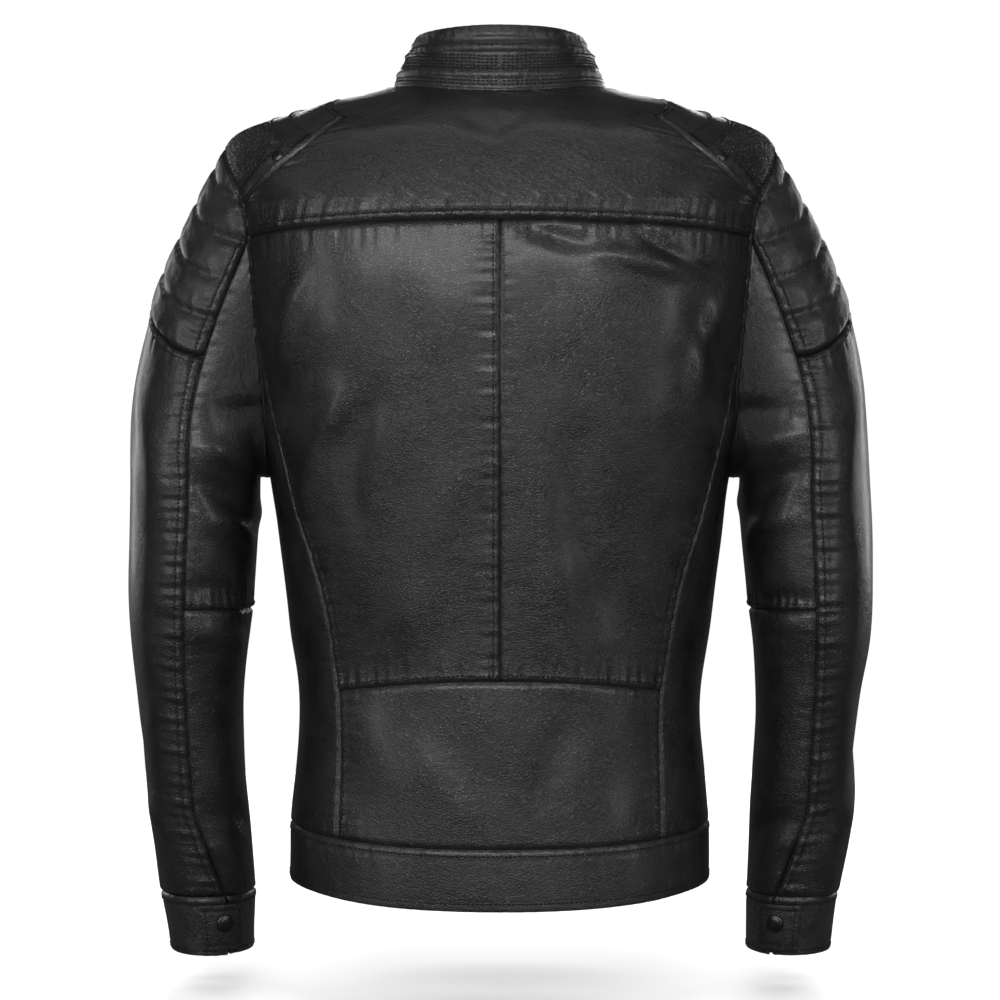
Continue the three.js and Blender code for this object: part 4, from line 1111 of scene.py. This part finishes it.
def sleeves():
    def under_front(along):
        return 360 + front_seam_around(along)

    def vent_outer(along):
        return back_seam_around(along) - VENT_GAP * smooth(3.98, 4.15, along)

    def vent_under(along):
        return back_seam_around(along) + VENT_GAP * smooth(3.98, 4.15, along)

    def panel(bottom, top, back_edge, front_edge, start, end, pitch=PITCH):
        left, right = seam_up(back_edge, start[0], end), seam_up(front_edge, start[1], end)
        return fill(sleeve_point, bottom, top, left, right, pitch)

    back_corner, front_corner = quilt_edge(back_seam_around, ()), quilt_edge(front_seam_around, ())
    swing = np.linspace(back_corner[0], front_corner[0], 200)
    lower = quilt_edge(lambda along: swing, swing.shape)
    lower[0], lower[-1] = back_corner, front_corner
    corners = (back_corner[1], front_corner[1])
    left, right = (seam_up(edge, 0, low) for edge, low in zip((back_seam_around, front_seam_around), corners))
    quilt_grid = fill(sleeve_point, lower, ring_line(0, 78, -84, 200), left, right, 2.2)
    outer_elbow = ring_line(ELBOW, back_seam_around(ELBOW), front_seam_around(ELBOW), 100)
    outer_grid = panel(outer_elbow, lower, back_seam_around, front_seam_around, corners, ELBOW)
    under_elbow = ring_line(ELBOW, back_seam_around(ELBOW), under_front(ELBOW))
    under_arm = ring_line(0, back_seam_around(0), under_front(0))
    under_grid = panel(under_elbow, under_arm, back_seam_around, under_front, (0, 0), ELBOW)
    elbow = (ELBOW, ELBOW)
    outer_wrist = ring_line(CUFF, vent_outer(CUFF), front_seam_around(CUFF))
    lower_outer = panel(outer_wrist, outer_elbow, vent_outer, front_seam_around, elbow, CUFF)
    under_wrist = ring_line(CUFF, vent_under(CUFF), under_front(CUFF))
    lower_under = panel(under_wrist, under_elbow, vent_under, under_front, elbow, CUFF)

    armhole_seam = Seam(rows=(2.2,), pucker=0.6, reach=8, band=0.6)
    quilt_seams = {"top": armhole_seam, "left": DOUBLE, "right": TOPSTITCHED}
    upper_outer_seams = {"top": TOPSTITCHED, "left": DOUBLE, "bottom": SMOOTH}
    upper_under_seams = {"top": armhole_seam, "bottom": TOPSTITCHED}
    lower_outer_seams = {"top": SMOOTH, "left": DOUBLE}
    open_below, open_above = ("top", "left", "right"), ("bottom", "left", "right")
    panels = [
        ("upper_outer", outer_grid, upper_outer_seams, open_below),
        ("upper_under", under_grid, upper_under_seams, EDGES),
        ("lower_outer", lower_outer, lower_outer_seams, open_above),
        ("lower_under", lower_under, {}, EDGES),
    ]
    for name, side in SIDES.items():
        points = on_surface(sleeve_point, quilt_grid, side)
        relief = quilt_relief(name, points, points - [SLEEVE_MIDDLE * side, 0, -100])
        shape = {"leather": QUILTED, "relief": relief, "bend": f"upper_sleeve_{name}"}
        nodes = [f"sleeve_quilt_{name}"]
        quilt = sleeve_panel(f"quilt_{name}", quilt_grid, side, quilt_seams, nodes, **shape)
        for panel_name, grid, seams, turned_in in panels:
            shape = {"bend": f"{panel_name[:5]}_sleeve_{name}", "turned_in": turned_in}
            nodes = [f"sleeve_{panel_name}_{name}"]
            sleeve_panel(f"{panel_name}_{name}", grid, side, seams, nodes, **shape)
        cuff(name, side)


CUFF_TAB = {"start": 88, "end": 139, "stand_off": 1.6, "thickness": 2}


def cuff(name, side):
    start, end = back_seam_around(CUFF) + 2, back_seam_around(CUFF) + 358
    bottom, top = ([start, CUFF_EDGE], [end, CUFF_EDGE]), ([start, CUFF], [end, CUFF])
    grid = between(sleeve_point, bottom, top, pitch=2)
    edge = Seam(rows=(4.5,), pucker=0.35, groove_depth=0.3, band=0.5)
    upper = Seam(rows=(6,), pucker=0.5, band=0.5, groove_depth=1.6)
    seams = {"top": upper, "bottom": edge, "left": edge, "right": edge}
    shape = {"body": f"lower_sleeve_{name}", "fold": {"bottom": 26}}
    sleeve_panel(f"cuff_band_{name}", grid, side, seams, [f"cuff_{name}"], TRIM, **shape)

    start, end = CUFF_TAB["start"], CUFF_TAB["end"]
    high, low = CUFF + 0.1, CUFF_EDGE - 0.1
    grid = between(sleeve_point, ([start, low], [end, low]), ([start, high], [end, high]), pitch=1.6)
    pinch = 1 - 0.24 * smooth(0.78, 1, np.linspace(0, 1, grid.shape[1])) ** 2
    centre = (high + low) / 2
    grid[..., 1] = centre + (grid[..., 1] - centre) * pinch
    points = on_surface(sleeve_point, grid, side)
    outward = (points - [236 * side, -20, 0]) * [1, 1, 0]
    points = points + normals_of(points, outward) * (CUFF_TAB["stand_off"] + CUFF_TAB["thickness"])
    edge = Seam(rows=(4,), pucker=0.15, groove_depth=0.4, band=0.3)
    nodes, body = [f"cuff_tab_{name}"], f"cuff_flap_{name}"
    add_panel(f"cuff_flap_{name}", points, edge, TRIM, outward, nodes, body, relief=0.2)


# ---- Metal ----
def blocks_part(centre, across, inward, upward, size):
    """Small blocks with chamfered ends; centre has a row for each, and the three ways may have one."""
    corners = []
    for level, narrow in ((-0.5, 0.72), (-0.3, 1), (0.3, 1), (0.5, 0.72)):
        for a, b in ((-1, -1), (1, -1), (1, 1), (-1, 1)):
            corner = centre + across * (a * size[0] / 2 * narrow) + inward * (b * size[1] / 2 * narrow)
            corners.append(corner + upward * (level * size[2]))
    return copies_part(corners, np.concatenate([ring_faces(4, 4), [[3, 2, 1, 0], [12, 13, 14, 15]]]))


def add_teeth(name, node, body=None, bend=None, **blocks):
    piece = add_mesh(name, [blocks_part(**blocks)], [ZIP_LOOK], shade_smooth=False)
    dress(piece, [node], body, bend)


ZIP_UP = np.array([0, 36, 572]) / np.hypot(36, 572)
ZIP_IN = np.array([0, ZIP_UP[2], -ZIP_UP[1]])


def main_zip():
    low, high = -617.0, -56.0
    count = int((high - low) / ZIP_PITCH)
    for name, side in SIDES.items():
        body = f"front_{name}"
        z = low + (np.arange(count) + (0.25 if side > 0 else 0.75)) * ZIP_PITCH
        middle = np.stack([np.zeros(count), -zip_depth(z), z], axis=-1) + ZIP_IN * (ZIP_SINK - 0.9)
        across = np.array([1.0 * side, 0, 0])
        ways = {"across": across, "inward": ZIP_IN, "upward": ZIP_UP}
        shape = {"centre": middle + across * 1.5, "size": (3.6, 2.3, 1.05), **ways}
        add_teeth(f"teeth_{name}", f"zip_teeth_{name}", body, **shape)

        z = np.linspace(low, high, 240)[:, None]
        x = np.linspace(0.15, 17, 9)[None, :]
        base = np.stack(np.broadcast_arrays(x * side, -zip_depth(z), z), axis=-1)
        points = base + ZIP_IN * (ZIP_SINK + 0.1 * np.sin(z / 3)[..., None])
        far = np.stack(np.broadcast_arrays(x, z), axis=-1).reshape(-1, 2)
        outer, inner = points - ZIP_IN * 0.4, points + ZIP_IN * 0.4
        faces = grid_faces(*points.shape[:2])
        parts = [(outer.reshape(-1, 3), faces, far, 0), (inner.reshape(-1, 3), faces[:, ::-1], far, 0)]
        piece = add_mesh(f"tape_{name}", parts, [TAPE_LOOK])
        dress(piece, [f"zip_tape_{name}"], body)


HAND_POCKET = ((56, -392), (78, -520), 130)
CHEST_POCKET = ((34, -196), (118, -222), 92)


def pocket(name, node, place, side, bend):
    """A zip let into a front: two rolled lips of leather and rows of teeth."""
    start, toward, length = np.array(place[0], float), np.array(place[1], float), place[2]
    way = (toward - start) / np.linalg.norm(toward - start)
    cross = np.array([-way[1], way[0]])
    along = np.linspace(-5, length + 5, 100)[:, None]
    out = np.linspace(-10.5, 10.5, 43)[None, :]
    seen = start + way * along[..., None] + cross * out[..., None]
    points = on_surface(body_point, place_seen(seen[..., 0], seen[..., 1], True), side)
    outward = points * [1, 1, 0]
    inside = smooth(-1, 1, along) * smooth(length + 1, length - 1, along)
    far = np.abs(out)
    lips = 2.3 * smooth(3.4, 4.6, far) + 0.7 * (1 - smooth(3.4, 4.6, far))
    ends = np.minimum(along + 5, length + 5 - along)
    welt = mix(2.2, lips, inside) * smooth(10.6, 8.6, far) * smooth(0, 1.6, ends)
    edge = Seam(groove_depth=0.1, pucker=0, stitched=(1.9,))
    relief = body_folds(points) + ripple(points) + welt
    add_panel(f"{name}_welt", points, edge, TRIM, outward, bend=bend, relief=relief)

    count = int(length / 1.5)
    seen = start + way * ((np.arange(count) + 0.5) * length / count)[:, None]
    middle = on_surface(body_point, place_seen(seen[:, 0], seen[:, 1], True), side)
    run = unit(np.gradient(middle, axis=0))
    up = square_to(run, middle * [0.25, 1, 0])
    lift = (body_folds(middle) + ripple(middle) + 1.3)[:, None]
    shift = np.where(np.arange(count) % 2 == 0, 0.7, -0.7)[:, None]
    across = np.cross(run, up)
    ways = {"across": across, "inward": up, "upward": run}
    shape = {"centre": middle + up * lift + across * shift, "size": (3, 1.5, 0.8), **ways}
    add_teeth(f"{name}_teeth", node, bend=bend, **shape)


def pockets():
    for name, side in SIDES.items():
        pocket(f"hand_pocket_{name}", f"hand_pocket_zip_{name}", HAND_POCKET, side, f"front_{name}")
    pocket("chest_pocket", "chest_pocket_zip", CHEST_POCKET, 1, "front_left")


def lathe(name, profile, centre, axis, look, count=40):
    """A round piece: profile is (radius, height) pairs along the axis from the centre."""
    axis = Vector(axis).normalized()
    side = axis.orthogonal().normalized()
    other = axis.cross(side)
    angles = np.arange(count)[:, None] / count * 2 * np.pi
    ways = np.cos(angles) * np.array(side) + np.sin(angles) * np.array(other)
    rings = [np.array(centre) + ways * radius + np.array(axis) * height for radius, height in profile]
    points = np.concatenate(rings)
    uv = np.zeros((len(points), 2))
    return add_mesh(name, [(points, ring_faces(count, len(profile)), uv, 0)], [look])


def surface_normal(surface, swing, along, outward, step=0.02):
    """The outward normal of a surface at each place of a line."""
    across = surface(swing + 50 * step, along) - surface(swing - 50 * step, along)
    down = surface(swing, along + step) - surface(swing, along - step)
    normal = unit(np.cross(across, down))
    return normal * np.sign((normal * outward).sum(axis=-1))[:, None]


def seam_roll(name, path, normals, radius, sink, closed=False, count=8):
    """The rolled seam allowance under a seam where two panels meet at an angle."""
    path = path - normals * sink
    run = np.roll(path, -1, axis=0) - np.roll(path, 1, axis=0) if closed else np.gradient(path, axis=0)
    run = unit(run)
    side = unit(np.cross(run, normals))
    angles = np.arange(count + 1)[:, None] / count * 2 * np.pi
    ring = side[:, None] * np.cos(angles) + np.cross(side, run)[:, None] * np.sin(angles)
    points = path[:, None] + ring * radius
    if closed:
        points = np.concatenate([points, points[:1]])
    return add_mesh(name, [sheet_part(points)], [TRIM_LOOK])


def seam_rolls():
    swing = np.arange(180) * 2.0
    place = armhole(swing)
    edge = on_surface(body_point, place)
    body_way = surface_normal(body_point, place[:, 0], place[:, 1], edge * [1, 1, 0.2])
    sleeve_way = surface_normal(sleeve_point, swing, np.full(180, 0.05), edge - [150, 0, -110])
    facing = unit(body_way + sleeve_way)
    neck_end = zip_edge(np.array([NECK], float), 4)[0]
    neck = on_surface(body_point, chain(line([0, NECK], [90, NECK]), line([90, NECK], neck_end)))
    for name, side in SIDES.items():
        flip = np.array([side, 1, 1])
        piece = seam_roll(f"armhole_roll_{name}", edge * flip, facing * flip, 3.2, 3, closed=True)
        dress(piece, [], "torso")
        outward = unit(neck * flip * [1, 1, 0])
        piece = seam_roll(f"neck_roll_{name}", neck * flip, outward, 2.4, 3.2)
        dress(piece, [], bend=f"front_{name}")


# Radius and height, from the middle of the foot to the middle of the top.
SNAP_CAP = [
    *((0.01, 0), (6.6, 0), (7.1, 0.5), (7, 1.1), (6.2, 1.6)),
    *((5.2, 1.5), (4.8, 1.9), (3, 2.25), (0.01, 2.4)),
]
SNAP_STUD = [(0.01, 0), (5, 0), (5, 0.5), (3.4, 0.7), (3.2, 0.95), (0.01, 1)]


def snap(name, profile, node, body, scale=1.0):
    """A snap over the frame's plain disc; its axis is the disc's thinnest way, away from the jacket."""
    points = np.array([tuple(vertex.co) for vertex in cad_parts[node].data.vertices]) / MM
    centre = points.mean(axis=0)
    axis = np.linalg.svd(points - centre)[2][-1]
    reach = (points - centre) @ axis
    top, foot = points[reach > reach.max() - 0.2] - centre, points[reach < reach.min() + 0.2] - centre
    if top.std() > foot.std():
        axis, reach = -axis, -reach
    profile = [(radius * scale, height * scale) for radius, height in profile]
    piece = lathe(name, profile, centre + axis * reach.min(), axis, METAL_LOOK)
    dress(piece, [node], body)


def snaps():
    snap("tab_cap", SNAP_CAP, "collar_snap_cap", "collar_flap")
    snap("tab_stud", SNAP_STUD, "collar_snap_stud", "front_right")
    for name in SIDES:
        snap(f"shoulder_cap_{name}", SNAP_CAP, f"shoulder_snap_{name}", "torso", 0.72)
        snap(f"cuff_cap_{name}", SNAP_CAP, f"cuff_snap_cap_{name}", f"cuff_flap_{name}")
        snap(f"cuff_stud_{name}", SNAP_STUD, f"cuff_snap_stud_{name}", f"lower_sleeve_{name}", 0.9)


TAB = {"start": 27, "end": -23, "height": 24, "thickness": 2.4, "z": -26, "stand_off": 1.8}


def collar_tab():
    """The tab that closes the collar, rounded at its free end."""
    along = np.linspace(0, 1, 40)[None, :]
    up = np.linspace(-1, 1, 20)[:, None]
    x = mix(TAB["start"], TAB["end"], along)
    round_off = np.sqrt(np.clip(1 - smooth(0, 1, (along * 50 - 42) / 8.4) ** 2 * 0.72, 0, 1))
    z = TAB["z"] + up * TAB["height"] / 2 * round_off
    points = np.stack(np.broadcast_arrays(x, -zip_depth(TAB["z"]) + 0 * x, z), axis=-1)
    points[..., 1] += (points[..., 2] - TAB["z"]) * ZIP_UP[1]
    points = points - ZIP_IN * (TAB["stand_off"] + TAB["thickness"])
    outward = np.broadcast_to(-ZIP_IN, points.shape)
    edge = Seam(rows=(3,), pucker=0.1, groove_depth=0.4, band=0.3)
    add_panel("collar_tab_leather", points, edge, TRIM, outward, ["collar_tab"], "collar_flap")


def kept_parts():
    """Frame nodes whose own shape is right: they get their real material, and the metal ones rounded edges.
    """
    looks = {"main_zip_slider": ZIP_LOOK, "main_zip_pull": ZIP_LOOK, "hanger_loop": TRIM_LOOK}
    for name in ("chest_pocket_slider", "hand_pocket_slider_left", "hand_pocket_slider_right"):
        looks[name] = ZIP_LOOK
    for node, look in looks.items():
        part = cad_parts[node]
        part.data.materials.clear()
        part.data.materials.append(look)
        if look is ZIP_LOOK:
            edges = part.modifiers.new("rounded_edges", "BEVEL")
            edges.width = 0.25 * MM
            edges.segments = 2
            edges.limit_method = "ANGLE"


def finish_linings():
    """Joins the kept sheets into one lining for each body or bend."""
    replaced = {"torso": ["back_lining"]}
    for name in SIDES:
        replaced[f"front_{name}"] = [f"front_lining_{name}"]
    for key, sheets in linings.items():
        piece = add_mesh(f"lining_{key}", [sheet_part(sheet) for sheet in sheets], [LINING_LOOK])
        dress(piece, replaced.get(key, ()), bend=key)


# ---- Stage ----
def add_light(name, place, aim, size, power):
    data = bpy.data.lights.new(name, "AREA")
    data.shape = "RECTANGLE"
    data.size, data.size_y = size
    data.energy = power
    light = bpy.data.objects.new(name, data)
    light.location = place
    light.rotation_euler = (Vector(aim) - Vector(place)).to_track_quat("-Z", "Y").to_euler()
    bpy.context.scene.collection.objects.link(light)


SKY = 1.02
SKY_IN_GLOSS = 0.06  # dimmer, so that the lights shape the gloss of black leather
FLOOR_GAP = 0.03  # below the cuffs


def stage():
    world = bpy.data.worlds.new("studio")
    world.use_nodes = True
    tree = world.node_tree
    background = tree.nodes["Background"]
    background.inputs["Color"].default_value = (1, 1, 1, 1)
    seen = tree.nodes.new("ShaderNodeLightPath")
    strength = tree.nodes.new("ShaderNodeMapRange")
    strength.inputs["To Min"].default_value = SKY
    strength.inputs["To Max"].default_value = SKY_IN_GLOSS
    tree.links.new(seen.outputs["Is Glossy Ray"], strength.inputs["Value"])
    tree.links.new(strength.outputs["Result"], background.inputs["Strength"])
    bpy.context.scene.world = world
    bpy.context.scene.view_settings.view_transform = "Standard"
    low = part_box("cuff_left")[0][2] - FLOOR_GAP
    bpy.ops.mesh.primitive_plane_add(size=3.2, location=(0, 0, low))
    floor = bpy.context.object
    floor.name = "floor"
    nodes = Nodes("pale_floor")
    nodes.shader.inputs["Base Color"].default_value = (0.96, 0.96, 0.96, 1)
    nodes.shader.inputs["Roughness"].default_value = 0.7
    floor.data.materials.append(nodes.material)
    floor.visible_glossy = False
    for name, way, power in (("back", 1, 42), ("front", -1, 30)):
        add_light(f"{name}_key", (0.3 * way, 2.6 * way, 0.62), (0, 0, -0.25), (2, 0.7), power)
        for side in (1, -1):
            place = (1.7 * side, 1.6 * way, 0.2)
            add_light(f"{name}_side_{side}", place, (0.1 * side, 0, -0.3), (0.4, 1.3), 8)
    add_light("top", (0, 0.3, 1.8), (0, 0, -0.2), (1.2, 0.4), 3)
    data = bpy.data.cameras.new("camera")
    data.lens = 90
    data.sensor_width = 36
    camera = bpy.data.objects.new("camera", data)
    camera.location = (0, 2.0, -0.317)
    camera.rotation_euler = (np.pi / 2, 0, np.pi)
    bpy.context.scene.collection.objects.link(camera)
    bpy.context.scene.camera = camera


stage()
back()
shoulders()
fronts()
collar()
hem()
sleeves()
seam_rolls()
main_zip()
pockets()
collar_tab()
snaps()
kept_parts()
finish_linings()
